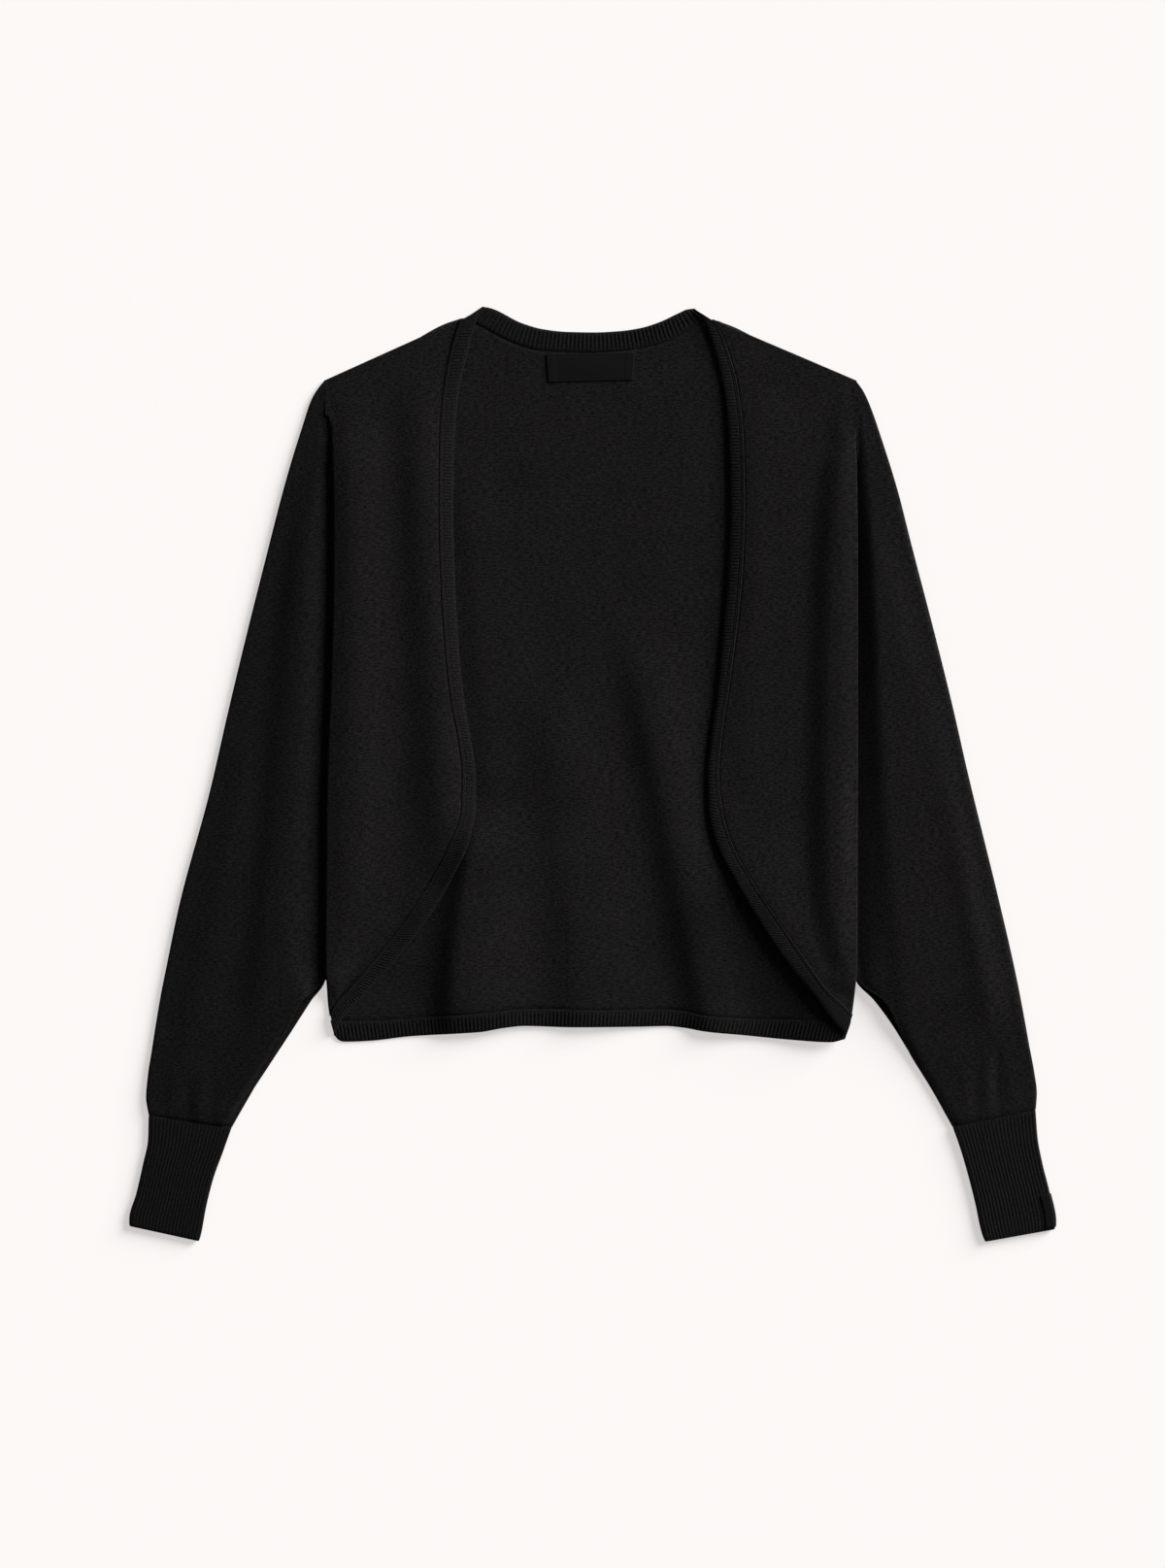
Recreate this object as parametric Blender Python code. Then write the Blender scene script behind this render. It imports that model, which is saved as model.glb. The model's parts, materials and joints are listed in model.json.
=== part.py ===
"""Knitted shrug, laid flat on its back and face up.

X runs to the right as seen from above, Y runs from hem to neck and Z is up.
The garment rests on the plane z = 0 and is centred on the origin.
Left and right are as seen from above. Every size below is in millimetres.
"""

import math

import bmesh
import bpy
import numpy as np

MM = 0.001

# Cloth and the room that it takes
WALL = 1.2
RIB_WALL = 1.6
TAPE = 1.0
GAP = 0.3
EDGE_GAP = 0.4
CREASE_RADIUS = (WALL + GAP) / 2
SLEEVE_FOLD_RADIUS = 1.2
CUFF_FOLD_RADIUS = 1.1
LAYER = WALL + GAP

# Ribs and the raised seam of the front bands
RIB_HEIGHT = 0.5
NECK_RIB_PITCH = 2.9
HEM_RIB_PITCH = 2.8
CUFF_RIB_PITCH = 2.6
SEAM_RIDGE = 0.6

# Pleat at each armhole: how far in the front starts to come down beside it, and over
# what length it does so on either side
PLEAT_MARGIN = 4.0
PLEAT_DROP_LEFT = 30.0
PLEAT_DROP_RIGHT = 18.0

# Tab on the right cuff
TAB_WIDTH = 7.5
TAB_TOP_Y = -310.5
TAB_BOTTOM_Y = -336.0


def table(names, *rows):
    """A table with named columns: one array for each name, one entry for each row."""
    return dict(zip(names.split(), np.array(rows, float).T))


# Armhole crease, then side seam: where it runs, how far the front stands up and
# how far the sleeve is tucked under it
SIDE_COLUMNS = "y x lift tuck"
SIDE_LEFT = table(
    SIDE_COLUMNS,
    (-194.0, -191.5, 0.0, 0.0),
    (-169.5, -195.8, 0.0, 0.0),
    (-154.0, -196.8, 0.9, 0.0),
    (-147.0, -197.7, 1.0, 0.0),
    (-130.0, -197.8, 1.0, 5.0),
    (-85.0, -197.4, 1.0, 13.0),
    (-24.0, -196.9, 1.0, 15.0),
    (18.0, -195.6, 1.0, 15.0),
    (80.0, -193.2, 1.0, 15.0),
    (142.0, -191.6, 1.0, 14.0),
    (192.0, -191.4, 1.0, 12.0),
    (230.0, -192.2, 1.0, 7.0),
    (252.0, -193.4, 1.0, 0.0),
    (273.0, -194.8, 0.6, 0.0),
    (292.0, -195.6, 0.0, 0.0),
)
SIDE_RIGHT = table(
    SIDE_COLUMNS,
    (-194.0, 189.4, 0.0, 0.0),
    (-169.5, 193.2, 0.0, 0.0),
    (-154.0, 195.0, 0.9, 0.0),
    (-147.0, 195.7, 1.0, 0.0),
    (-130.0, 196.0, 1.0, 5.0),
    (-74.0, 196.2, 1.0, 12.0),
    (34.0, 196.7, 1.0, 13.0),
    (142.0, 196.8, 1.0, 12.0),
    (192.0, 196.5, 1.0, 9.0),
    (221.0, 196.1, 1.0, 5.0),
    (240.0, 195.5, 1.0, 0.0),
    (268.0, 194.2, 0.6, 0.0),
    (292.0, 192.7, 0.0, 0.0),
)

# Front sections from the hem corner up: free edge, band seam, height of the point
# that faces them on the side seam, and how high the band is carried
FRONT_COLUMNS = "edge_x edge_y seam_x seam_y side_y carried"
FRONT_LEFT = table(
    FRONT_COLUMNS,
    (-190.6, -192.2, -194.0, -178.5, -179.5, 2.4),
    (-187.0, -184.0, -191.0, -172.0, -176.0, 2.4),
    (-169.5, -164.0, -179.5, -158.5, -160.0, 2.4),
    (-145.0, -137.0, -159.0, -134.5, -136.0, 1.5),
    (-120.0, -104.5, -137.0, -106.5, -108.0, 1.5),
    (-102.6, -74.8, -119.5, -79.0, -82.0, 1.5),
    (-91.3, -50.0, -105.5, -52.5, -56.0, 1.5),
    (-86.3, -22.0, -97.0, -26.0, -32.0, 1.5),
    (-86.5, 0.0, -96.5, 1.0, -6.0, 1.5),
    (-90.0, 25.0, -99.5, 26.0, 16.0, 1.5),
    (-94.5, 52.0, -104.5, 52.0, 38.0, 1.5),
    (-98.9, 92.5, -109.0, 92.5, 73.0, 1.5),
    (-101.7, 142.0, -112.2, 142.0, 115.0, 1.5),
    (-103.1, 196.0, -113.6, 196.0, 161.0, 1.5),
    (-102.2, 246.4, -113.2, 246.4, 205.0, 1.5),
    (-98.9, 283.4, -110.6, 282.0, 238.0, 1.5),
    (-92.8, 310.6, -105.8, 310.0, 264.0, 1.7),
    (-87.6, 331.0, -100.4, 329.0, 285.0, 2.4),
    (-82.6, 344.2, -97.4, 335.8, 291.5, 2.4),
)
FRONT_RIGHT = table(
    FRONT_COLUMNS,
    (187.9, -192.4, 192.2, -178.5, -179.5, 2.4),
    (181.9, -186.6, 188.0, -173.2, -176.0, 2.4),
    (164.0, -163.5, 174.2, -160.4, -162.0, 2.4),
    (143.3, -137.8, 156.2, -135.2, -137.0, 1.5),
    (122.7, -106.9, 138.2, -109.5, -111.0, 1.5),
    (104.7, -76.1, 118.4, -79.5, -82.0, 1.5),
    (91.9, -50.3, 104.2, -53.0, -56.0, 1.5),
    (86.5, -26.0, 96.8, -28.5, -34.0, 1.5),
    (85.7, -2.0, 93.8, -1.5, -8.0, 1.5),
    (88.2, 25.8, 96.0, 27.0, 16.0, 1.5),
    (93.2, 61.8, 101.2, 62.0, 46.0, 1.5),
    (97.5, 108.1, 107.3, 108.2, 86.0, 1.5),
    (100.9, 146.6, 111.2, 146.6, 119.0, 1.5),
    (102.7, 198.1, 113.2, 198.1, 163.0, 1.5),
    (101.4, 249.5, 112.1, 249.5, 208.0, 1.5),
    (97.2, 288.1, 107.6, 288.5, 242.0, 1.5),
    (90.9, 313.8, 100.8, 313.0, 266.0, 1.7),
    (84.0, 334.0, 93.5, 330.5, 285.0, 2.4),
    (77.0, 343.4, 89.0, 335.8, 291.5, 2.4),
)

# Sleeve sections from the shoulder to the cuff: folded outer edge, inner edge,
# width of the under layer that shows beside the upper one, and how far the upper
# layer has closed round the under one
SLEEVE_COLUMNS = "outer_x outer_y inner_x inner_y strip closed"
SLEEVE_LEFT = table(
    SLEEVE_COLUMNS,
    (-198.8, 290.9, -195.9, 290.7, 0.0, 0.0),
    (-203.6, 285.0, -195.8, 283.0, 0.0, 0.0),
    (-208.0, 277.5, -195.4, 275.0, 0.0, 0.0),
    (-215.1, 256.6, -194.0, 256.0, 0.0, 0.0),
    (-226.6, 218.9, -192.2, 219.0, 0.0, 0.0),
    (-243.9, 152.1, -191.8, 152.0, 0.0, 0.0),
    (-258.8, 92.5, -193.2, 92.0, 0.0, 0.0),
    (-270.0, 45.5, -195.0, 45.0, 0.0, 0.0),
    (-283.7, -14.2, -197.0, -14.0, 0.0, 0.0),
    (-306.0, -97.0, -197.8, -93.0, 0.0, 0.0),
    (-316.0, -145.0, -198.2, -138.0, 0.0, 0.0),
    (-319.4, -162.0, -198.4, -152.4, 0.5, 0.0),
    (-323.2, -184.0, -209.4, -169.4, 7.2, 0.0),
    (-326.6, -206.0, -223.4, -191.3, 4.2, 0.0),
    (-329.4, -224.0, -239.4, -216.2, 1.6, 0.3),
    (-330.7, -240.0, -258.8, -247.5, 0.0, 1.0),
    (-328.8, -252.3, -266.9, -261.8, 0.0, 1.0),
)
SLEEVE_RIGHT = table(
    SLEEVE_COLUMNS,
    (195.9, 290.7, 193.1, 290.7, 0.0, 0.0),
    (200.8, 284.0, 193.5, 283.0, 0.0, 0.0),
    (204.9, 275.5, 193.9, 274.0, 0.0, 0.0),
    (215.1, 246.4, 195.3, 246.4, 0.0, 0.0),
    (226.8, 208.3, 196.3, 208.3, 0.0, 0.0),
    (235.9, 172.3, 196.8, 172.3, 0.0, 0.0),
    (253.9, 103.1, 197.0, 103.0, 0.0, 0.0),
    (266.7, 51.5, 196.9, 51.0, 0.0, 0.0),
    (278.4, 0.2, 196.7, 0.0, 0.0, 0.0),
    (300.2, -88.9, 196.4, -86.0, 0.0, 0.0),
    (311.6, -138.0, 196.2, -136.0, 0.0, 0.0),
    (315.8, -158.0, 195.8, -151.8, 0.5, 0.0),
    (320.2, -181.0, 209.8, -168.6, 7.2, 0.0),
    (324.0, -202.0, 223.0, -186.6, 3.5, 0.0),
    (327.6, -221.0, 236.9, -210.2, 0.0, 0.6),
    (329.6, -237.0, 251.2, -233.3, 0.0, 1.0),
    (328.8, -248.4, 267.0, -261.6, 0.0, 1.0),
)

# Cuff sections from the sleeve to the opening
CUFF_COLUMNS = "outer_x outer_y inner_x inner_y"
CUFF_LEFT = table(
    CUFF_COLUMNS,
    (-328.8, -252.7, -266.9, -262.2),
    (-329.2, -270.0, -273.3, -280.0),
    (-333.2, -290.0, -280.6, -300.0),
    (-338.0, -311.0, -286.0, -321.5),
    (-343.2, -330.0, -289.6, -341.0),
    (-343.2, -334.6, -291.0, -346.0),
)
CUFF_RIGHT = table(
    CUFF_COLUMNS,
    (328.8, -248.8, 267.0, -262.0),
    (330.4, -270.0, 273.0, -279.0),
    (334.2, -290.0, 278.8, -299.0),
    (339.0, -309.0, 283.6, -318.0),
    (343.4, -332.0, 288.4, -340.0),
    (343.2, -337.0, 290.8, -346.4),
)

# Band round the back neck, and the hem's lower edge and band seam
NECK = table(
    "edge_x edge_y seam_x",
    (-81.2, 346.0, -93.6),
    (-76.8, 345.2, -87.6),
    (-51.5, 333.4, -57.0),
    (-36.7, 329.2, -39.5),
    (-18.7, 327.2, -20.0),
    (1.4, 326.8, 1.4),
    (20.9, 327.8, 22.5),
    (35.3, 329.9, 38.2),
    (49.7, 334.3, 54.0),
    (64.1, 341.0, 70.5),
    (71.0, 344.0, 80.0),
    (75.6, 344.6, 86.8),
)
BACK_TOP = table(
    "x y",
    (-195.6, 292.0),
    (-145.0, 314.6),
    (-94.2, 337.4),
    (-87.6, 334.4),
    (-60.7, 320.4),
    (-35.7, 313.6),
    (1.4, 312.4),
    (42.3, 316.6),
    (64.1, 324.3),
    (79.8, 333.4),
    (87.4, 336.0),
    (140.0, 313.6),
    (192.7, 292.0),
)
HEM_SEAM = table(
    "x y",
    (-195.0, -182.7),
    (-179.9, -183.4),
    (-141.6, -182.0),
    (-121.0, -180.0),
    (-97.6, -178.6),
    (-77.0, -176.9),
    (-50.5, -174.3),
    (-32.9, -174.3),
    (6.5, -175.2),
    (50.5, -174.6),
    (65.2, -175.4),
    (82.9, -179.0),
    (112.2, -181.3),
    (146.1, -182.0),
    (193.0, -183.1),
)
HEM_EDGE = table(
    "x y",
    (-191.0, -193.8),
    (-189.4, -196.0),
    (-187.0, -197.5),
    (-183.6, -198.3),
    (-165.2, -197.6),
    (-135.8, -194.3),
    (-99.0, -192.0),
    (-82.9, -190.9),
    (-65.2, -187.9),
    (-50.5, -186.5),
    (-15.3, -187.4),
    (32.9, -187.1),
    (54.9, -186.7),
    (68.2, -187.9),
    (82.9, -190.4),
    (109.4, -193.0),
    (147.5, -196.7),
    (176.9, -198.4),
    (186.8, -196.2),
)

# Corners of the neck label: upper left, upper right, lower left, lower right
LABEL = table("x y", (-34.0, 311.0), (31.3, 311.8), (-32.3, 290.4), (29.8, 291.8))

# Soft folds: the line that each ridge follows, its sideways bow, its half width
# across and its height
FOLD_COLUMNS = "from_x from_y to_x to_y bow half_width height"
BACK_FOLDS = table(
    FOLD_COLUMNS,
    (30.0, 95.0, 82.0, -215.0, 7.0, 12.0, 5.0),
    (10.0, -40.0, 24.0, -230.0, -3.0, 15.0, 2.0),
    (-14.0, -15.0, -16.0, -225.0, 0.0, 12.0, 3.4),
    (-76.0, -50.0, -100.0, -235.0, 2.0, 10.0, 4.0),
)
FRONT_LEFT_FOLDS = table(
    FOLD_COLUMNS,
    (-117.0, 262.0, -108.0, -60.0, 4.0, 10.0, 2.6),
    (-172.0, 60.0, -160.0, -130.0, 4.0, 11.0, 1.0),
)
FRONT_RIGHT_FOLDS = table(
    FOLD_COLUMNS,
    (121.0, 270.0, 118.0, 20.0, 0.0, 13.0, 1.6),
    (152.0, 30.0, 176.0, -140.0, -4.0, 11.0, 1.5),
)
SLEEVE_LEFT_FOLDS = table(
    FOLD_COLUMNS,
    (-210.0, 225.0, -240.0, -190.0, 7.0, 13.0, 3.0),
    (-236.0, 130.0, -298.0, -225.0, 4.0, 12.0, 2.2),
    (-310.0, -204.0, -313.0, -262.0, 0.0, 5.0, 1.2),
    (-288.0, -208.0, -293.0, -268.0, 0.0, 5.0, 1.3),
)
SLEEVE_RIGHT_FOLDS = table(
    FOLD_COLUMNS,
    (222.0, 205.0, 238.0, -80.0, -6.0, 11.0, 3.0),
    (258.0, 70.0, 302.0, -210.0, -3.0, 11.0, 2.2),
    (230.0, -50.0, 270.0, -226.0, 4.0, 12.0, 2.2),
    (296.0, -202.0, 299.0, -264.0, 0.0, 5.0, 1.3),
    (281.0, -208.0, 282.0, -266.0, 0.0, 4.5, 1.1),
)

# Colours, as linear values, and roughness
KNIT_COLOUR = (0.0085, 0.008, 0.008, 1.0)
RIB_COLOUR = (0.0065, 0.006, 0.006, 1.0)
TAPE_COLOUR = (0.006, 0.006, 0.0065, 1.0)
KNIT_ROUGHNESS = 0.9
TAPE_ROUGHNESS = 0.5

# How finely the walls are divided
FRONT_STEP = 31.0
SLEEVE_STEP = 27.0
CUFF_STEP = 22.0
TAB_STEP = 4.5
BACK_ROWS = 14
PANEL_COLUMNS = 11
SLEEVE_COLUMNS_ACROSS = 13
FOLD_STEPS = 4


def smoothstep(value):
    """0 below 0, 1 above 1 and an even S between them."""
    value = np.clip(value, 0.0, 1.0)
    return value * value * (3.0 - 2.0 * value)


def smooth(knots, values, at):
    """A curve through the values that never overshoots them (monotone cubic)."""
    steps = np.diff(knots)
    slopes = np.diff(values) / steps
    tangents = np.zeros(len(values))
    same_way = slopes[:-1] * slopes[1:] > 0
    near, far = 2 * steps[1:] + steps[:-1], steps[1:] + 2 * steps[:-1]
    safe = [np.where(same_way, part, 1.0) for part in (slopes[:-1], slopes[1:])]
    mean = (near + far) / (near / safe[0] + far / safe[1])
    tangents[1:-1] = np.where(same_way, mean, 0.0)
    tangents[0], tangents[-1] = slopes[0], slopes[-1]
    index = np.clip(np.searchsorted(knots, at) - 1, 0, len(steps) - 1)
    step = steps[index]
    t = (at - knots[index]) / step
    return (
        values[index] * (1 + 2 * t) * (1 - t) ** 2
        + tangents[index] * step * t * (1 - t) ** 2
        + values[index + 1] * t * t * (3 - 2 * t)
        + tangents[index + 1] * step * t * t * (t - 1)
    )


def sections(rows, x_name, y_name, step):
    """The table's columns at its rows, and between rows more than a step apart.

    Distance is measured along the line that the columns x_name and y_name give.
    """
    lengths = np.hypot(np.diff(rows[x_name]), np.diff(rows[y_name]))
    knots = np.concatenate([[0.0], np.cumsum(lengths)])
    parts = np.ceil(lengths / step).astype(int)
    spans = [np.linspace(a, b, n, endpoint=False) for a, b, n in zip(knots, knots[1:], parts)]
    at = np.concatenate(spans + [knots[-1:]])
    return {name: smooth(knots, column, at) for name, column in rows.items()}


def ridges(folds, x, y):
    """Height of the soft folds at each point: a bell across each line, fading at its ends."""
    height = np.zeros(np.broadcast(x, y).shape)
    for row in zip(*folds.values()):
        from_x, from_y, to_x, to_y, bow, half_width, peak = row
        run_x, run_y = to_x - from_x, to_y - from_y
        length = math.hypot(run_x, run_y)
        along = ((x - from_x) * run_x + (y - from_y) * run_y) / length**2
        across = ((y - from_y) * run_x - (x - from_x) * run_y) / length
        inside = np.clip(along, 0.0, 1.0)
        across = across - bow * 4 * inside * (1 - inside)
        height += peak * np.sin(math.pi * inside) * np.exp(-((across / half_width) ** 2))
    return height


def grid_faces(rows, columns, first, ring):
    """Quads over a grid of points whose first point has the index given."""
    wrap = columns if ring else columns - 1
    faces = []
    for row in range(rows - 1):
        for column in range(wrap):
            right = (column + 1) % columns
            corners = [(row, column), (row, right), (row + 1, right), (row + 1, column)]
            faces.append([first + r * columns + c for r, c in corners])
    return faces


def border(rows, columns, ring):
    """Indices of the grid's open edges, each as a closed or open run."""
    bottom = list(range(columns))
    top = [(rows - 1) * columns + c for c in range(columns)]
    if ring:
        return [bottom + bottom[:1], top + top[:1]]
    left = [r * columns for r in range(rows)]
    right = [r * columns + columns - 1 for r in range(rows)]
    return [bottom, right, top[::-1], left[::-1]]


def wall(name, outer, inner, material, ring=False):
    """A closed wall between two grids of points, as one named object."""
    rows, columns = outer.shape[:2]
    count = rows * columns
    faces = grid_faces(rows, columns, 0, ring) + grid_faces(rows, columns, count, ring)
    for run in border(rows, columns, ring):
        for start, end in zip(run, run[1:]):
            faces.append([start, end, end + count, start + count])
    points = np.concatenate([outer.reshape(-1, 3), inner.reshape(-1, 3)]) * MM
    mesh = bpy.data.meshes.new(name)
    mesh.from_pydata(points.tolist(), [], faces)
    shell = bmesh.new()
    shell.from_mesh(mesh)
    bmesh.ops.recalc_face_normals(shell, faces=shell.faces)
    shell.to_mesh(mesh)
    shell.free()
    mesh.materials.append(material)
    piece = bpy.data.objects.new(name, mesh)
    bpy.data.collections["knitted_shrug"].objects.link(piece)
    return piece


def path_normals(s, z, ring=False):
    """Unit normals to the left of each section path, which runs along the last axis."""
    if ring:
        run_s = np.roll(s, -1, axis=-1) - np.roll(s, 1, axis=-1)
        run_z = np.roll(z, -1, axis=-1) - np.roll(z, 1, axis=-1)
    else:
        run_s, run_z = np.gradient(s, axis=-1), np.gradient(z, axis=-1)
    length = np.hypot(run_s, run_z)
    return -run_z / length, run_s / length


def place(start, end, s, z):
    """Points at distances s from start towards end, and at heights z."""
    run = end - start
    run = run / np.linalg.norm(run, axis=-1, keepdims=True)
    plan = start[:, None, :] + s[..., None] * run[:, None, :]
    return np.concatenate([plan, z[..., None]], axis=-1)


def layers(start, end, s, z, thickness, raised=0.0, ring=False):
    """The two faces of a wall about a section path, the left one raised more."""
    normal_s, normal_z = path_normals(s, z, ring)
    out = thickness / 2 + raised
    back = thickness / 2
    return (
        place(start, end, s + out * normal_s, z + out * normal_z),
        place(start, end, s - back * normal_s, z - back * normal_z),
    )


def side_at(side, name, y):
    """A column of a side table at the heights y."""
    return smooth(side["y"], side[name], np.clip(y, side["y"][0], side["y"][-1]))


def back_grid():
    """Plan points of the back panel: rows from hem to neck, columns from left to right."""
    stations = len(BACK_TOP["x"])
    at = np.linspace(0, stations - 1, 2 * (stations - 1) + 1)
    top_x = np.interp(at, np.arange(stations), BACK_TOP["x"])
    top_y = smooth(BACK_TOP["x"], BACK_TOP["y"], top_x)
    share = (top_x - top_x[0]) / (top_x[-1] - top_x[0])
    up = np.linspace(0.0, 1.0, BACK_ROWS + 1)[:, None]
    side_y = HEM_SEAM["y"][0] + up * (top_y[0] - HEM_SEAM["y"][0])
    left = side_at(SIDE_LEFT, "x", side_y)
    right = side_at(SIDE_RIGHT, "x", side_y)
    x = left + share * (right - left)
    low = smooth(HEM_SEAM["x"], HEM_SEAM["y"], np.clip(x, HEM_SEAM["x"][0], HEM_SEAM["x"][-1]))
    return x, low + up * (top_y - low)


def back_panel(material):
    """The back lies on the surface, inside face up, lifted only where it folds."""
    x, y = back_grid()
    z = ridges(BACK_FOLDS, x, y)
    wall("back_panel", np.stack([x, y, z + WALL], -1), np.stack([x, y, z], -1), material)


def ribbed_band(name, edge, seam, pitch, material):
    """A flat band between two edges, ribbed across on its upper face."""
    length = np.hypot(*np.diff(edge, axis=0).T).sum()
    ribs = round(length / pitch)
    at = np.linspace(0.0, 1.0, 2 * ribs + 1)
    share = np.concatenate([[0.0], np.cumsum(np.hypot(*np.diff(edge, axis=0).T))]) / length
    edge = np.stack([smooth(share, edge[:, axis], at) for axis in (0, 1)], -1)
    seam = np.stack([smooth(share, seam[:, axis], at) for axis in (0, 1)], -1)
    across = np.array([0.0, 1.0])[:, None, None]
    plan = edge + across * (seam - edge)
    z = ridges(BACK_FOLDS, plan[..., 0], plan[..., 1])
    crest = RIB_HEIGHT * (np.arange(len(at)) % 2)
    top = z + RIB_WALL + crest
    outer = np.concatenate([plan, top[..., None]], -1)
    inner = np.concatenate([plan, z[..., None]], -1)
    wall(name, outer, inner, material)


def neck_band(material):
    """The band follows the back panel's top edge and stands a seam's gap above it."""
    x, y = back_grid()
    seam_y = np.interp(NECK["seam_x"], x[-1], y[-1]) + EDGE_GAP
    edge = np.stack([NECK["edge_x"], NECK["edge_y"]], -1)
    seam = np.stack([NECK["seam_x"], seam_y], -1)
    ribbed_band("neck_band", edge, seam, NECK_RIB_PITCH, material)


def hem_band(material):
    """The band follows the back panel's lower edge and lies a seam's gap below it."""
    x, y = back_grid()
    seam_x = x[0]
    seam_y = y[0] - EDGE_GAP
    share = (seam_x - seam_x[0]) / (seam_x[-1] - seam_x[0])
    edge_x = HEM_EDGE["x"][0] + share * (HEM_EDGE["x"][-1] - HEM_EDGE["x"][0])
    edge_y = smooth(HEM_EDGE["x"], HEM_EDGE["y"], edge_x)
    edge = np.stack([edge_x, edge_y], -1)
    seam = np.stack([seam_x, seam_y], -1)
    ribbed_band("hem_band", edge, seam, HEM_RIB_PITCH, material)


def front_rows(rows, side):
    """The front's sections, with the points that face them on the side seam."""
    found = sections(rows, "edge_x", "edge_y", FRONT_STEP)
    found["side"] = np.stack([side_at(side, "x", found["side_y"]), found["side_y"]], -1)
    found["seam"] = np.stack([found["seam_x"], found["seam_y"]], -1)
    found["edge"] = np.stack([found["edge_x"], found["edge_y"]], -1)
    found["lift"] = side_at(side, "lift", found["side_y"])
    found["tuck"] = side_at(side, "tuck", found["side_y"])
    return found


def front_panel(name, rows, side, folds, pleat_drop, material):
    """A front turns under at its side, over the tucked sleeve, and comes down inwards."""
    found = front_rows(rows, side)
    width = np.linalg.norm(found["seam"] - found["side"], axis=-1)[:, None]
    turned = np.minimum(np.maximum(found["tuck"][:, None], 2.5), width - 0.8)
    low = LAYER + WALL / 2 + found["lift"][:, None] * LAYER
    centre = WALL / 2 + CREASE_RADIUS
    inward = np.linspace(1.0, 0.0, 3)[:-1]
    under_s = centre + (turned + 0.4 - centre) * inward
    angle = np.linspace(-math.pi / 2, -3 * math.pi / 2, FOLD_STEPS + 1)
    fold_s = centre + CREASE_RADIUS * np.cos(angle) + 0 * low
    fold_z = low + CREASE_RADIUS * (1 + np.sin(angle))
    out = np.linspace(0.0, 1.0, PANEL_COLUMNS + 1)[1:]
    over_s = centre + (width - centre) * out**1.15
    drop = np.clip(width - turned - PLEAT_MARGIN - 1.0, 1.5, pleat_drop)
    margin = np.minimum(PLEAT_MARGIN, 0.2 * width)
    fall = smoothstep((over_s - turned - margin) / drop)
    top = low + 2 * CREASE_RADIUS
    over_z = top + (LAYER + WALL / 2 - top) * fall
    plan = place(found["side"], found["seam"], over_s, over_z)
    over_z = over_z + ridges(folds, plan[..., 0], plan[..., 1]) * fall
    s = np.concatenate([under_s, fold_s, over_s], -1)
    z = np.concatenate([low + 0 * under_s, fold_z, over_z], -1)
    outer, inner = layers(found["side"], found["seam"], s, z, WALL)
    wall(name, outer, inner, material)


def front_band(name, rows, side, folds, material):
    """A narrow band from the panel's edge to the free edge, which follows the panel's folds."""
    found = front_rows(rows, side)
    width = np.linalg.norm(found["edge"] - found["seam"], axis=-1)[:, None]
    across = np.array([0.0, 0.14, 0.28, 0.64, 1.0])
    ridge = SEAM_RIDGE * np.array([0.6, 1.0, 0.0, 0.3, 0.0])
    s = GAP + (width - GAP) * across
    plan = place(found["seam"], found["edge"], s, 0 * s)
    z = found["carried"][:, None] + RIB_WALL / 2 + ridges(folds, plan[..., 0], plan[..., 1])
    top = place(found["seam"], found["edge"], s, z + RIB_WALL / 2 + ridge)
    bottom = place(found["seam"], found["edge"], s, z - RIB_WALL / 2)
    wall(name, top, bottom, material)


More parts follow.
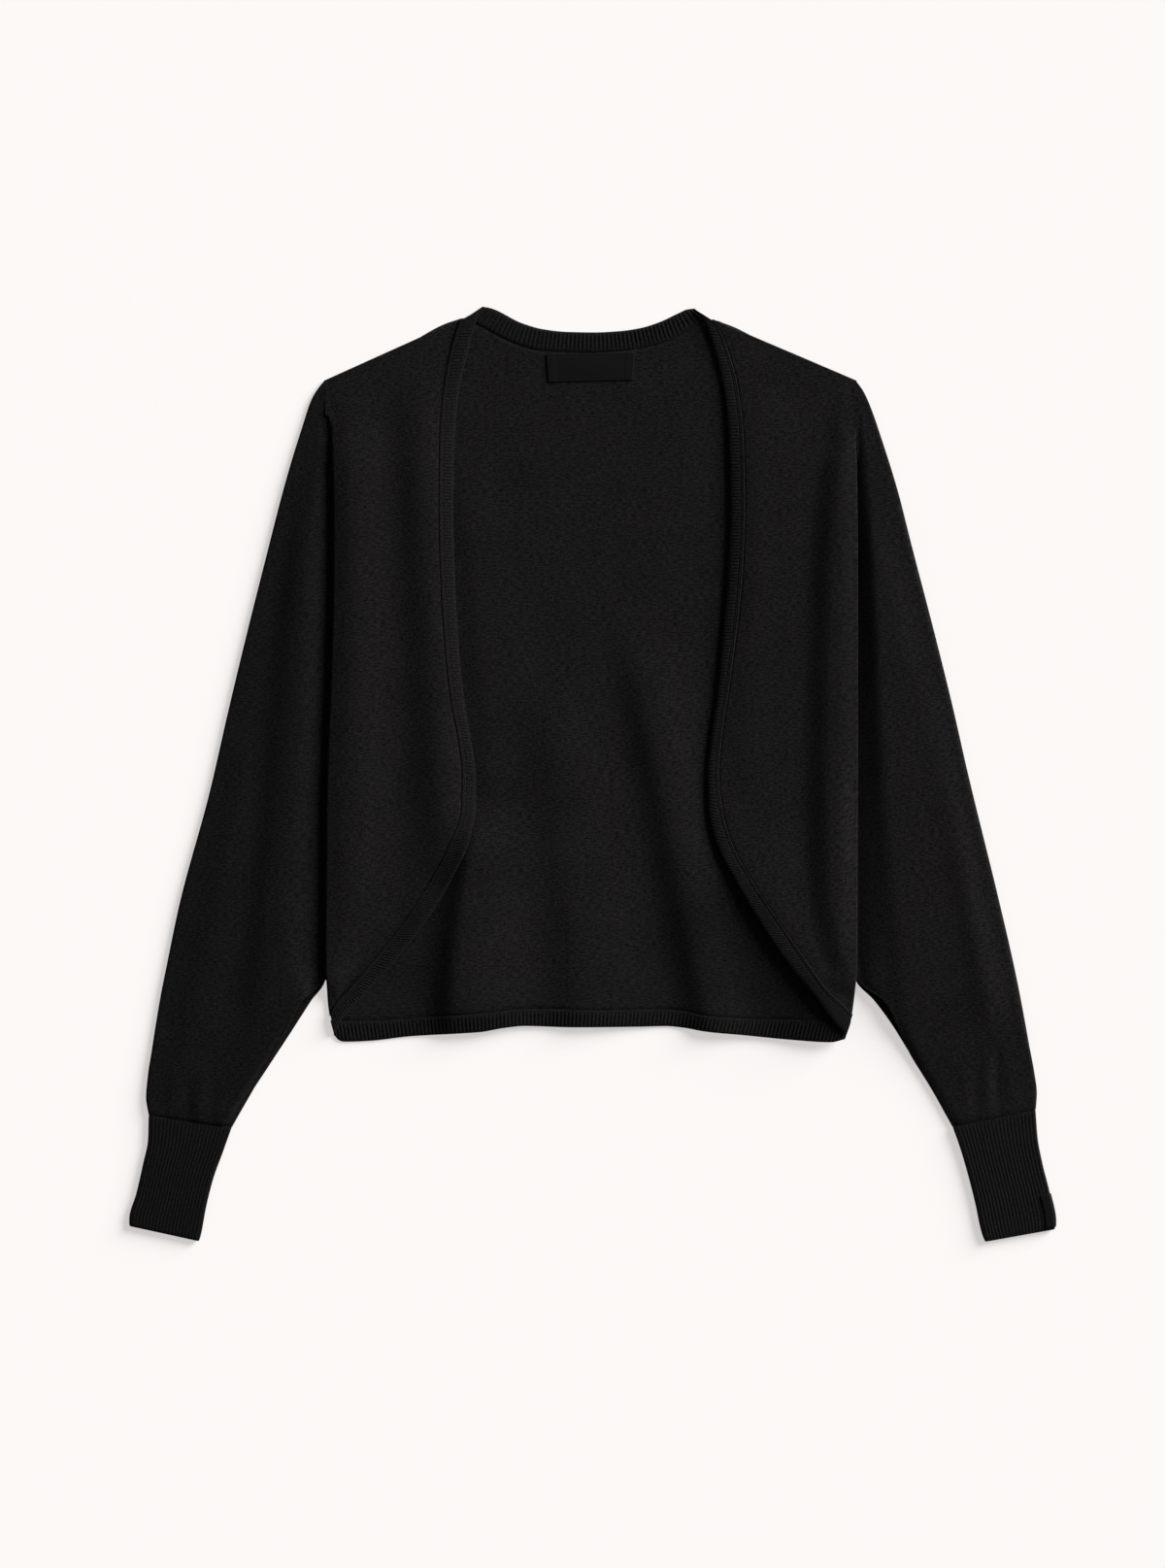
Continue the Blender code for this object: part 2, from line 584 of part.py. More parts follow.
def sleeve(name, rows, side, folds, mirrored, material):
    """A sleeve is folded at its outer edge and tucked under the front along the crease."""
    found = sections(rows, "outer_x", "outer_y", SLEEVE_STEP)
    outer_edge = np.stack([found["outer_x"], found["outer_y"]], -1)
    notch = rows["inner_y"][rows["strip"] > 0].max()
    above = found["inner_y"] > notch
    beside = side_at(side, "x", found["inner_y"]) + (GAP if mirrored else -GAP)
    inner_x = np.where(above, beside, found["inner_x"])
    inner_edge = np.stack([inner_x, found["inner_y"]], -1)
    width = np.linalg.norm(inner_edge - outer_edge, axis=-1)[:, None]
    closed = found["closed"][:, None]
    tuck = np.where(above, side_at(side, "tuck", found["inner_y"]), 0.0)[:, None]
    radius = CREASE_RADIUS + (SLEEVE_FOLD_RADIUS - CREASE_RADIUS) * smoothstep(width / 30.0)

    centre = WALL / 2 + radius
    under_end = width - closed * (WALL + GAP)
    under_s = centre + (under_end - centre) * np.linspace(1.0, 0.0, 5)[:-1]
    angle = np.linspace(-math.pi / 2, -3 * math.pi / 2, FOLD_STEPS + 1)
    fold_s = centre + radius * np.cos(angle)
    fold_z = WALL / 2 + radius * (1 + np.sin(angle))

    lip = np.full_like(width, (LAYER * math.pi / 2))
    turn = closed * math.radians(80)
    reach = width + tuck - found["strip"][:, None] - np.sin(turn) * WALL / 2
    lip_start = reach - np.minimum(lip * np.sinc(turn / math.pi), 0.4 * reach)
    out = np.linspace(0.0, 1.0, SLEEVE_COLUMNS_ACROSS + 1)[1:]
    over_s = centre + (lip_start - centre) * out
    pressed = smoothstep((over_s - width + 30.0) / 24.0)
    over_z = WALL / 2 + 2 * radius + (LAYER - 2 * radius) * pressed
    plan = place(outer_edge, inner_edge, over_s, over_z)
    free = smoothstep((over_s - centre) / 12.0) * smoothstep((width - 4.0 - over_s) / 14.0)
    over_z = over_z + ridges(folds, plan[..., 0], plan[..., 1]) * free

    step = np.array([0.5, 1.0]) * (reach - lip_start) / np.sinc(turn / math.pi)
    bend = np.maximum(turn, 1e-6) / np.maximum(lip, 1e-6)
    lip_s = lip_start + np.sin(bend * step) / bend
    lip_z = over_z[:, -1:] - (1 - np.cos(bend * step)) / bend

    s = np.concatenate([under_s, fold_s, over_s, lip_s], -1)
    z = np.concatenate([WALL / 2 + 0 * under_s, fold_z + 0 * fold_s, over_z, lip_z], -1)
    outer, inner = layers(outer_edge, inner_edge, s, z, WALL)
    wall(name, outer, inner, material)


def cuff_path(width, ribs):
    """A flattened ring as distances and heights, and the rib height at each point."""
    centre = RIB_WALL / 2 + CUFF_FOLD_RADIUS
    under_s = centre + (width - 2 * centre) * np.linspace(1.0, 0.0, 6)
    angle = np.linspace(-math.pi / 2, -3 * math.pi / 2, FOLD_STEPS + 1)[1:-1]
    near_s = centre + CUFF_FOLD_RADIUS * np.cos(angle) + 0 * width
    far_s = width - near_s[:, ::-1]
    fold_z = RIB_WALL / 2 + CUFF_FOLD_RADIUS * (1 + np.sin(angle)) + 0 * width
    over_s = centre + (width - 2 * centre) * np.linspace(0.0, 1.0, 2 * ribs + 1)
    low, high = RIB_WALL / 2, RIB_WALL / 2 + 2 * CUFF_FOLD_RADIUS
    s = np.concatenate([under_s, near_s, over_s, far_s], -1)
    z = np.concatenate([low + 0 * under_s, fold_z, high + 0 * over_s, fold_z[:, ::-1]], -1)
    crest = np.zeros(s.shape[1])
    first = under_s.shape[1] + near_s.shape[1]
    crest[first : first + over_s.shape[1]] = RIB_HEIGHT * (np.arange(over_s.shape[1]) % 2)
    return s, z, crest


def cuff_ends(rows, step):
    """Outer and inner edge points of the cuff's sections."""
    found = sections(rows, "outer_x", "outer_y", step)
    outer = np.stack([found["outer_x"], found["outer_y"]], -1)
    return outer, np.stack([found["inner_x"], found["inner_y"]], -1)


def cuff(name, rows, material):
    """A rib tube pressed flat, ribbed lengthwise on its upper face."""
    start, end = cuff_ends(rows, CUFF_STEP)
    width = np.linalg.norm(end - start, axis=-1)[:, None]
    ribs = round(width.mean() / CUFF_RIB_PITCH)
    s, z, crest = cuff_path(width, ribs)
    outer, inner = layers(start, end, s, z, RIB_WALL, crest, ring=True)
    wall(name, outer, inner, material, ring=True)


def neck_label(material):
    """A tape label on the back panel, just under the neck band."""
    along = np.linspace(0.0, 1.0, 4)[None, :, None]
    down = np.linspace(0.0, 1.0, 3)[:, None, None]
    corners = np.stack([LABEL["x"], LABEL["y"]], -1)
    upper = corners[0] + along * (corners[1] - corners[0])
    lower = corners[2] + along * (corners[3] - corners[2])
    plan = upper + down * (lower - upper)
    rest = WALL + GAP + ridges(BACK_FOLDS, plan[..., 0], plan[..., 1])
    top = np.concatenate([plan, (rest + TAPE)[..., None]], -1)
    bottom = np.concatenate([plan, rest[..., None]], -1)
    wall("neck_label", top, bottom, material)


def cuff_tab(rows, material):
    """A tape tab that wraps the outer edge of the right cuff, made from the cuff's points."""
    start, end = cuff_ends(rows, TAB_STEP)
    chosen = (start[:, 1] < TAB_TOP_Y) & (start[:, 1] > TAB_BOTTOM_Y)
    start, end = start[chosen], end[chosen]
    centre = RIB_WALL / 2 + CUFF_FOLD_RADIUS
    radius = CUFF_FOLD_RADIUS + RIB_WALL / 2 + RIB_HEIGHT + GAP + TAPE / 2
    angle = np.linspace(math.radians(90), math.radians(192), 7)
    over_s = np.linspace(TAB_WIDTH, centre + RIB_HEIGHT, 3)[:-1]
    s = np.concatenate([over_s, centre + RIB_HEIGHT + radius * np.cos(angle)])[None, :]
    z = np.concatenate([centre + radius + 0 * over_s, centre + radius * np.sin(angle)])[None, :]
    shape = (len(start), s.shape[1])
    s, z = np.broadcast_to(s, shape), np.broadcast_to(z, shape)
    outer, inner = layers(start, end, s, z, TAPE)
    wall("cuff_tab", outer, inner, material)


def finish(name, colour, roughness):
    """A plain material with the colour and roughness given."""
    material = bpy.data.materials.new(name)
    material.use_nodes = True
    surface = material.node_tree.nodes["Principled BSDF"]
    surface.inputs["Base Color"].default_value = colour
    surface.inputs["Roughness"].default_value = roughness
    surface.inputs["Metallic"].default_value = 0.0
    material.diffuse_color = colour
    return material


def centre_on_origin():
    """Moves every point so that the garment's footprint is centred on the origin."""
    pieces = bpy.data.collections["knitted_shrug"].objects
    points = np.concatenate([[vertex.co for vertex in piece.data.vertices] for piece in pieces])
    middle = (points.min(axis=0) + points.max(axis=0)) / 2
    for piece in pieces:
        for vertex in piece.data.vertices:
            vertex.co.x -= middle[0]
            vertex.co.y -= middle[1]


def clear_scene():
    """Removes whatever the open file holds."""
    for item in list(bpy.data.objects):
        bpy.data.objects.remove(item, do_unlink=True)


def main():
    """Builds every piece in the order in which it is laid down."""
    clear_scene()
    garment = bpy.data.collections.new("knitted_shrug")
    bpy.context.scene.collection.children.link(garment)

    back_panel(finish("jersey_back", KNIT_COLOUR, KNIT_ROUGHNESS))
    neck_band(finish("rib_neck", RIB_COLOUR, KNIT_ROUGHNESS))
    hem_band(finish("rib_hem", RIB_COLOUR, KNIT_ROUGHNESS))
    neck_label(finish("tape_neck", TAPE_COLOUR, TAPE_ROUGHNESS))
    hands = {
        "left": (
            SIDE_LEFT, SLEEVE_LEFT, SLEEVE_LEFT_FOLDS, CUFF_LEFT, FRONT_LEFT, FRONT_LEFT_FOLDS,
            PLEAT_DROP_LEFT
        ),
        "right": (
            SIDE_RIGHT, SLEEVE_RIGHT, SLEEVE_RIGHT_FOLDS, CUFF_RIGHT, FRONT_RIGHT, FRONT_RIGHT_FOLDS,
            PLEAT_DROP_RIGHT
        ),
    }
    for hand, (side, sleeve_rows, sleeve_folds, cuff_rows, front, front_folds, pleat_drop) in hands.items():
        knit = finish(f"jersey_sleeve_{hand}", KNIT_COLOUR, KNIT_ROUGHNESS)
        sleeve(f"sleeve_{hand}", sleeve_rows, side, sleeve_folds, hand == "right", knit)
        cuff(f"cuff_{hand}", cuff_rows, finish(f"rib_cuff_{hand}", RIB_COLOUR, KNIT_ROUGHNESS))
        knit = finish(f"jersey_front_{hand}", KNIT_COLOUR, KNIT_ROUGHNESS)
        front_panel(f"front_{hand}", front, side, front_folds, pleat_drop, knit)
        rib = finish(f"rib_front_{hand}", RIB_COLOUR, KNIT_ROUGHNESS)
        front_band(f"front_band_{hand}", front, side, front_folds, rib)
    cuff_tab(CUFF_RIGHT, finish("tape_cuff", TAPE_COLOUR, TAPE_ROUGHNESS))
    centre_on_origin()


main()
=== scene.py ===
"""Knitted shrug laid flat on its back: the looks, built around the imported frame.

Surfaces are worked out in millimetres, in the garment's own plan, and are put into
the frame's metres at the end. X runs to the right as seen from above, Y from hem to
neck and Z up. Left and right are as seen from above.
"""

from __future__ import annotations

import json
import logging
import math
from dataclasses import dataclass, replace
from enum import Enum

import bpy
import numpy as np
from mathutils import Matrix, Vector

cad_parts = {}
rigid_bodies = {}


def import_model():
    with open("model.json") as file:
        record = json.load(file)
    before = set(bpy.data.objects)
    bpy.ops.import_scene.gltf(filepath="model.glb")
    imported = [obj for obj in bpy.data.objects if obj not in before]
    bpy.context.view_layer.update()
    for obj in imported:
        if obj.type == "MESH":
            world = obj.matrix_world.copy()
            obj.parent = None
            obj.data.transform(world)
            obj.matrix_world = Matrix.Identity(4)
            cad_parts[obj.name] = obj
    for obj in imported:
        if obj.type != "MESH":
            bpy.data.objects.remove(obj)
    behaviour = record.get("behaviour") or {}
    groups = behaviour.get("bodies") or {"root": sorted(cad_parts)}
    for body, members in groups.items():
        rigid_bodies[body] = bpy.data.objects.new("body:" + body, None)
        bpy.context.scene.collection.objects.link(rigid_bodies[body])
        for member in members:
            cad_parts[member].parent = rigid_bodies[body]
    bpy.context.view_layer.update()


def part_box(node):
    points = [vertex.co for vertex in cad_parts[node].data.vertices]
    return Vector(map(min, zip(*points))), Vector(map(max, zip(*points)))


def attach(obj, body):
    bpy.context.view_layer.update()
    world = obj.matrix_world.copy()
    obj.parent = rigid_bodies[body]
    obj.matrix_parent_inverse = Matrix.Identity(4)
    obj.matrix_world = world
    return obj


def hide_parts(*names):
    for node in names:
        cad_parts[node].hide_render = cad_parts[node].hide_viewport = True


for leftover in [item for item in bpy.data.objects if item.name in ("Cube", "Light", "Camera")]:
    bpy.data.objects.remove(leftover, do_unlink=True)

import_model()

Array = np.ndarray
Table = dict[str, Array]
LOG = logging.getLogger("knitted_shrug")

MM = 0.001
BODY = "root"

# Thickness of the jersey and the rib, and heights above the surface that several
# pieces share, in millimetres
SHEET = 1.0
RIB_SHEET = 1.3
BACK_HEIGHT = 0.55
FRONT_HEIGHT = 2.1
TUCKED_HEIGHT = 1.9

# The shoulder's tip: where it is, how high front and sleeve meet there, how much
# higher they meet below it and over what length that comes
TIP_Y = 291.0
TIP_HEIGHT = 2.2
TIP_RISE = 0.8
TIP_EASE = 25.0

# Above this height the crease beside each front runs out towards the shoulder
CREASE_RUNS_OUT = 60.0


class Hand(Enum):
    """Which side a paired piece is on, as seen from above."""

    LEFT = "left"
    RIGHT = "right"


class Face(Enum):
    """Which face of the knit shows, by the name of its stitches."""

    KNIT = "knit"
    PURL = "purl"


class Held(Enum):
    """How a cut piece of cloth is held, in the frame's own words."""

    LAID = "laid"
    FOLDED = "folded"


def table(names: str, *rows: tuple[float, ...]) -> Table:
    """A table with named columns.

    Args:
        names: the column names, with spaces between them.
        rows: one tuple for each row.

    Returns:
        One array for each name, with one entry for each row.
    """
    return dict(zip(names.split(), np.array(rows, float).T))


# Armhole crease, then side seam: where it runs, how far the front stands up there,
# how far the sleeve is tucked under it and how wide the sleeve's dip beside it is
SIDE_COLUMNS = "y x lift tuck dip"
SIDE = {
    Hand.LEFT: table(
        SIDE_COLUMNS,
        (-194, -191.5, 0, 0, 9),
        (-169.5, -195.8, 0, 0, 9),
        (-154, -196.8, 0.9, 0, 24),
        (-147, -197.7, 1, 0, 28),
        (-130, -197.8, 1, 5, 33),
        (-85, -197.4, 1, 13, 34),
        (-24, -196.9, 1, 15, 30),
        (18, -195.6, 1, 15, 26),
        (80, -193.2, 1, 15, 25),
        (142, -191.6, 1, 14, 23),
        (192, -191.4, 1, 12, 18),
        (230, -192.2, 0.9, 7, 13),
        (252, -193.4, 0.62, 0, 10),
        (273, -194.8, 0.15, 0, 8),
        (292, -195.6, 0, 0, 4),
    ),
    Hand.RIGHT: table(
        SIDE_COLUMNS,
        (-194, 189.4, 0, 0, 9),
        (-169.5, 193.2, 0, 0, 9),
        (-154, 195, 0.9, 0, 16),
        (-147, 195.7, 1, 0, 17),
        (-130, 196, 1, 5, 20),
        (-74, 196.2, 1, 12, 21),
        (34, 196.7, 1, 13, 18),
        (142, 196.8, 1, 12, 14),
        (192, 196.5, 1, 9, 11),
        (221, 196.1, 0.9, 5, 9),
        (240, 195.5, 0.65, 0, 8),
        (268, 194.2, 0.15, 0, 6),
        (292, 192.7, 0, 0, 4),
    ),
}

# Front sections from the hem corner up: free edge, band seam, height of the point
# that faces them on the side seam, how high the band is carried and how far its free
# edge stands off the back
FRONT_COLUMNS = "edge_x edge_y seam_x seam_y side_y carried off"
FRONT = {
    Hand.LEFT: table(
        FRONT_COLUMNS,
        (-190.6, -192.2, -194, -178.5, -179.5, 2.4, 0),
        (-187, -184, -191, -172, -176, 2.4, 0.1),
        (-169.5, -164, -179.5, -158.5, -160, 2.4, 0.5),
        (-145, -137, -159, -134.5, -136, 1.6, 1.4),
        (-120, -104.5, -137, -106.5, -108, 1.5, 1.5),
        (-102.6, -74.8, -119.5, -79, -82, 1.5, 1.2),
        (-91.3, -50, -105.5, -52.5, -56, 1.5, 0.8),
        (-86.3, -22, -97, -26, -32, 1.5, 0.5),
        (-86.5, 0, -96.5, 1, -6, 1.5, 0.4),
        (-90, 25, -99.5, 26, 16, 1.5, 0.3),
        (-94.5, 52, -104.5, 52, 38, 1.5, 0.3),
        (-98.9, 92.5, -109, 92.5, 73, 1.5, 0.3),
        (-101.7, 142, -112.2, 142, 115, 1.5, 0.3),
        (-103.1, 196, -113.6, 196, 161, 1.5, 0.3),
        (-102.2, 246.4, -113.2, 246.4, 205, 1.5, 0.3),
        (-98.9, 283.4, -110.6, 282, 238, 1.5, 0.3),
        (-92.8, 310.6, -105.8, 310, 264, 1.9, 0.2),
        (-87.6, 331, -100.4, 329, 285, 2.4, 0),
        (-82.6, 344.2, -97.4, 335.8, 291.5, 2.4, 0),
    ),
    Hand.RIGHT: table(
        FRONT_COLUMNS,
        (187.9, -192.4, 192.2, -178.5, -179.5, 2.4, 0),
        (181.9, -186.6, 188, -173.2, -176, 2.4, 0.5),
        (164, -163.5, 174.2, -160.4, -162, 2.4, 2.2),
        (143.3, -137.8, 156.2, -135.2, -137, 1.6, 3.4),
        (122.7, -106.9, 138.2, -109.5, -111, 1.5, 3.6),
        (104.7, -76.1, 118.4, -79.5, -82, 1.5, 3.5),
        (91.9, -50.3, 104.2, -53, -56, 1.5, 3.3),
        (86.5, -26, 96.8, -28.5, -34, 1.5, 3.2),
        (85.7, -2, 93.8, -1.5, -8, 1.5, 2.7),
        (88.2, 25.8, 96, 27, 16, 1.5, 2.4),
        (93.2, 61.8, 101.2, 62, 46, 1.5, 2.2),
        (97.5, 108.1, 107.3, 108.2, 86, 1.5, 2.1),
        (100.9, 146.6, 111.2, 146.6, 119, 1.5, 2.1),
        (102.7, 198.1, 113.2, 198.1, 163, 1.5, 2),
        (101.4, 249.5, 112.1, 249.5, 208, 1.5, 1.8),
        (97.2, 288.1, 107.6, 288.5, 242, 1.5, 1.3),
        (90.9, 313.8, 100.8, 313, 266, 1.9, 0.5),
        (84, 334, 93.5, 330.5, 285, 2.4, 0.2),
        (77, 343.4, 89, 335.8, 291.5, 2.4, 0),
    ),
}

# How far in each front starts to come down beside its pleat where the sleeve is
# tucked 15 mm under it, over what length it does so and how high its fold stands
PLEAT = {Hand.LEFT: (10, 46, 7.7), Hand.RIGHT: (18, 20, 6.8)}

# How steeply each sleeve comes out of its crease, 1 steepest there and 2 flat there,
# the radius of its outer fold with its rise for each millimetre inwards, and the share
# of its stand-off that each front band loses towards its free edge
CREASE_POWER = {Hand.LEFT: 2.0, Hand.RIGHT: 1.0}
SLEEVE_STAND = {Hand.LEFT: (1.3, 0.035), Hand.RIGHT: (3.2, 0.0)}
BAND_CURL = {Hand.LEFT: 0.2, Hand.RIGHT: 0.5}

# Sleeve sections from the shoulder to the cuff: folded outer edge, inner edge,
# width of the under layer that shows beside the upper one, and how far the upper
# layer has closed round the under one
SLEEVE_COLUMNS = "outer_x outer_y inner_x inner_y strip closed"
SLEEVE = {
    Hand.LEFT: table(
        SLEEVE_COLUMNS,
        (-198.8, 290.9, -195.9, 290.7, 0, 0),
        (-203.6, 285, -195.8, 283, 0, 0),
        (-208, 277.5, -195.4, 275, 0, 0),
        (-215.1, 256.6, -194, 256, 0, 0),
        (-226.6, 218.9, -192.2, 219, 0, 0),
        (-243.9, 152.1, -191.8, 152, 0, 0),
        (-258.8, 92.5, -193.2, 92, 0, 0),
        (-270, 45.5, -195, 45, 0, 0),
        (-283.7, -14.2, -197, -14, 0, 0),
        (-306, -97, -197.8, -93, 0, 0),
        (-316, -145, -198.2, -138, 0, 0),
        (-319.4, -162, -198.4, -152.4, 0.5, 0),
        (-323.2, -184, -209.4, -169.4, 7.2, 0),
        (-326.6, -206, -223.4, -191.3, 4.2, 0),
        (-329.4, -224, -239.4, -216.2, 1.6, 0.3),
        (-330.7, -240, -258.8, -247.5, 0, 1),
        (-328.8, -252.3, -266.9, -261.8, 0, 1),
    ),
    Hand.RIGHT: table(
        SLEEVE_COLUMNS,
        (195.9, 290.7, 193.1, 290.7, 0, 0),
        (200.8, 284, 193.5, 283, 0, 0),
        (204.9, 275.5, 193.9, 274, 0, 0),
        (215.1, 246.4, 195.3, 246.4, 0, 0),
        (226.8, 208.3, 196.3, 208.3, 0, 0),
        (235.9, 172.3, 196.8, 172.3, 0, 0),
        (253.9, 103.1, 197, 103, 0, 0),
        (266.7, 51.5, 196.9, 51, 0, 0),
        (278.4, 0.2, 196.7, 0, 0, 0),
        (300.2, -88.9, 196.4, -86, 0, 0),
        (311.6, -138, 196.2, -136, 0, 0),
        (315.8, -158, 195.8, -151.8, 0.5, 0),
        (320.2, -181, 209.8, -168.6, 7.2, 0),
        (324, -202, 223, -186.6, 3.5, 0),
        (327.6, -221, 236.9, -210.2, 0, 0.6),
        (329.6, -237, 251.2, -233.3, 0, 1),
        (328.8, -248.4, 267, -261.6, 0, 1),
    ),
}

# Cuff sections from the sleeve to the opening
CUFF_COLUMNS = "outer_x outer_y inner_x inner_y"
CUFF = {
    Hand.LEFT: table(
        CUFF_COLUMNS,
        (-328.8, -252.7, -266.9, -262.2),
        (-329.2, -270, -273.3, -280),
        (-333.2, -290, -280.6, -300),
        (-338, -311, -286, -321.5),
        (-343.2, -330, -289.6, -341),
        (-343.2, -334.6, -291, -346),
    ),
    Hand.RIGHT: table(
        CUFF_COLUMNS,
        (328.8, -248.8, 267, -262),
        (330.4, -270, 273, -279),
        (334.2, -290, 278.8, -299),
        (339, -309, 283.6, -318),
        (343.4, -332, 288.4, -340),
        (343.2, -337, 290.8, -346.4),
    ),
}

# Band round the back neck, the back panel's top edge, and the hem
NECK = table(
    "edge_x edge_y seam_x",
    (-81.2, 346, -93.6),
    (-76.8, 345.2, -87.6),
    (-51.5, 333.4, -57),
    (-36.7, 329.2, -39.5),
    (-18.7, 327.2, -20),
    (1.4, 326.8, 1.4),
    (20.9, 327.8, 22.5),
    (35.3, 329.9, 38.2),
    (49.7, 334.3, 54),
    (64.1, 341, 70.5),
    (71, 344, 80),
    (75.6, 344.6, 86.8),
)
BACK_TOP = table(
    "x y",
    (-195.6, 292),
    (-145, 314.6),
    (-94.2, 337.4),
    (-87.6, 334.4),
    (-60.7, 320.4),
    (-35.7, 313.6),
    (1.4, 312.4),
    (42.3, 316.6),
    (64.1, 324.3),
    (79.8, 333.4),
    (87.4, 336),
    (140, 313.6),
    (192.7, 292),
)
HEM_SEAM = table(
    "x y",
    (-195, -182.7),
    (-179.9, -183.4),
    (-141.6, -182),
    (-121, -180),
    (-97.6, -178.6),
    (-77, -176.9),
    (-50.5, -174.3),
    (-32.9, -174.3),
    (6.5, -175.2),
    (50.5, -174.6),
    (65.2, -175.4),
    (82.9, -179),
    (112.2, -181.3),
    (146.1, -182),
    (193, -183.1),
)
HEM_EDGE = table(
    "x y",
    (-191, -193.8),
    (-189.4, -196),
    (-187, -197.5),
    (-183.6, -198.3),
    (-165.2, -197.6),
    (-135.8, -194.3),
    (-99, -192),
    (-82.9, -190.9),
    (-65.2, -187.9),
    (-50.5, -186.5),
    (-15.3, -187.4),
    (32.9, -187.1),
    (54.9, -186.7),
    (68.2, -187.9),
    (82.9, -190.4),
    (109.4, -193),
    (147.5, -196.7),
    (176.9, -198.4),
    (186.8, -196.2),
)

# Corners of the neck label: upper left, upper right, lower left, lower right
LABEL = table("x y", (-34.0, 311.0), (31.3, 311.8), (-32.3, 290.4), (29.8, 291.8))

# Soft folds: the line that each crest follows from the neck's end down, its sideways
# bow, its half width on the left and on the right of that line, and its height. A
# negative height is a trough.
FOLD_COLUMNS = "from_x from_y to_x to_y bow left right height"
BACK_FOLDS = table(
    FOLD_COLUMNS,
    (24, 130, 106, -280, 1.5, 15, 26, 5.6),
    (-33, 90, -2, -280, 5, 21, 40, 4.4),
    (-78, -16, -103, -211, -6.5, 12, 52, 7.6),
    (-84, -80, -100, -290, -2, 32, 36, 1.8),
    (-95, 250, -68, -70, 0, 12, 32, 1.8),
    (92, -44, 212, -222, 0, 44, 90, 7.2),
    (-34, 270, -24, 100, -6, 26, 26, 0.6),
    (44, 240, 36, 130, 4, 22, 22, 0.5),
)
FRONT_FOLDS = {
    Hand.LEFT: table(
        FOLD_COLUMNS,
        (-140, 330, -136, -160, 0, 60, 60, 2.4),
        (-132, 318, -103, -132, 0, 18, 18, 4.6),
        (-104, -84, -158, -210, 0, 24, 20, 2.4),
        (-177, 285, -175, -160, 0, 28, 15, 0.9),
    ),
    Hand.RIGHT: table(
        FOLD_COLUMNS,
        (148, 330, 148, -150, 0, 30, 60, 2.2),
        (122, 300, 114, -60, 0, 13, 14, 1),
        (187, 272, 187, -155, 0, 16, 30, 1.2),
        (178, 20, 173, -196, 0, 18, 24, 1.8),
    ),
}
SLEEVE_FOLDS = {
    Hand.LEFT: table(
        FOLD_COLUMNS,
        (-206, 272, -250, -246, 2, 13, 34, 2.2),
        (-228, 240, -272, -240, 4, 13, 10, -1.1),
        (-262, 60, -306, -240, 4, 13, 18, 1),
        (-310, -214, -313, -262, 0, 4, 4, 0.7),
        (-298, -222, -301, -264, 0, 3, 3, -0.6),
        (-288, -214, -293, -268, 0, 4, 4, 0.7),
        (-322, -228, -323, -262, 0, 2.6, 2.6, -0.5),
        (-279, -230, -284, -268, 0, 2.8, 2.8, -0.5),
    ),
    Hand.RIGHT: table(
        FOLD_COLUMNS,
        (209, 228, 240, -236, -5, 11, 60, 2.8),
        (254, 120, 303, -225, -2, 12, 34, 2.5),
        (311, -210, 313, -262, 0, 4, 4, 0.6),
        (300, -196, 300.5, -262, 0, 3, 3, -0.7),
        (292, -205, 293, -266, 0, 4, 4, 0.7),
        (284, -228, 283.5, -266, 0, 2.6, 2.6, -0.5),
        (276, -214, 277, -266, 0, 4, 4, 0.6),
    ),
}


def smoothstep(value: Array) -> Array:
    """An even S: 0 below 0, 1 above 1 and v*v*(3 - 2v) between them.

    Args:
        value: the values to ease.

    Returns:
        The eased values.
    """
    value = np.clip(value, 0.0, 1.0)
    return value * value * (3.0 - 2.0 * value)


def bell(value: Array, centre: float, half_width: Array | float) -> Array:
    """exp(-((v - centre) / half width)^2), which is 1 at its centre."""
    return np.exp(-(((value - centre) / half_width) ** 2))


def crests(turns: Array) -> Array:
    """Half of 1 + cos(2 pi turns), which is 1 on each crest and 0 between them."""
    return 0.5 + 0.5 * np.cos(2 * math.pi * turns)


def join_height(y: Array) -> Array:
    """How high front and sleeve meet near the shoulder, lowest at its very tip."""
    return TIP_HEIGHT + TIP_RISE * smoothstep((TIP_Y - y) / TIP_EASE)


def smooth(knots: Array, values: Array, at: Array) -> Array:
    """A monotone cubic through the values, so it never overshoots them.

    The tangent at a knot is the weighted harmonic mean of the two slopes beside it,
    or nought where they differ in sign, and each span is a cubic Hermite curve.

    Args:
        knots: rising positions of the values.
        values: the values there.
        at: the positions wanted.

    Returns:
        The curve's values at those positions.
    """
    steps = np.diff(knots)
    slopes = np.diff(values) / steps
    tangents = np.zeros(len(values))
    same_way = slopes[:-1] * slopes[1:] > 0
    near, far = 2 * steps[1:] + steps[:-1], steps[1:] + 2 * steps[:-1]
    before, after = (np.where(same_way, part, 1.0) for part in (slopes[:-1], slopes[1:]))
    tangents[1:-1] = np.where(same_way, (near + far) / (near / before + far / after), 0.0)
    tangents[0], tangents[-1] = slopes[0], slopes[-1]
    index = np.clip(np.searchsorted(knots, at) - 1, 0, len(steps) - 1)
    step = steps[index]
    t = (at - knots[index]) / step
    return (
        values[index] * (1 + 2 * t) * (1 - t) ** 2
        + tangents[index] * step * t * (1 - t) ** 2
        + values[index + 1] * t * t * (3 - 2 * t)
        + tangents[index + 1] * step * t * t * (t - 1)
    )


def run_of(x: Array, y: Array) -> Array:
    """Distance run along a line of points, from its first point.

    Args:
        x: the points' places across.
        y: the points' places along.

    Returns:
        The sum of the straight steps up to each point.
    """
    return np.concatenate([[0.0], np.cumsum(np.hypot(np.diff(x), np.diff(y)))])


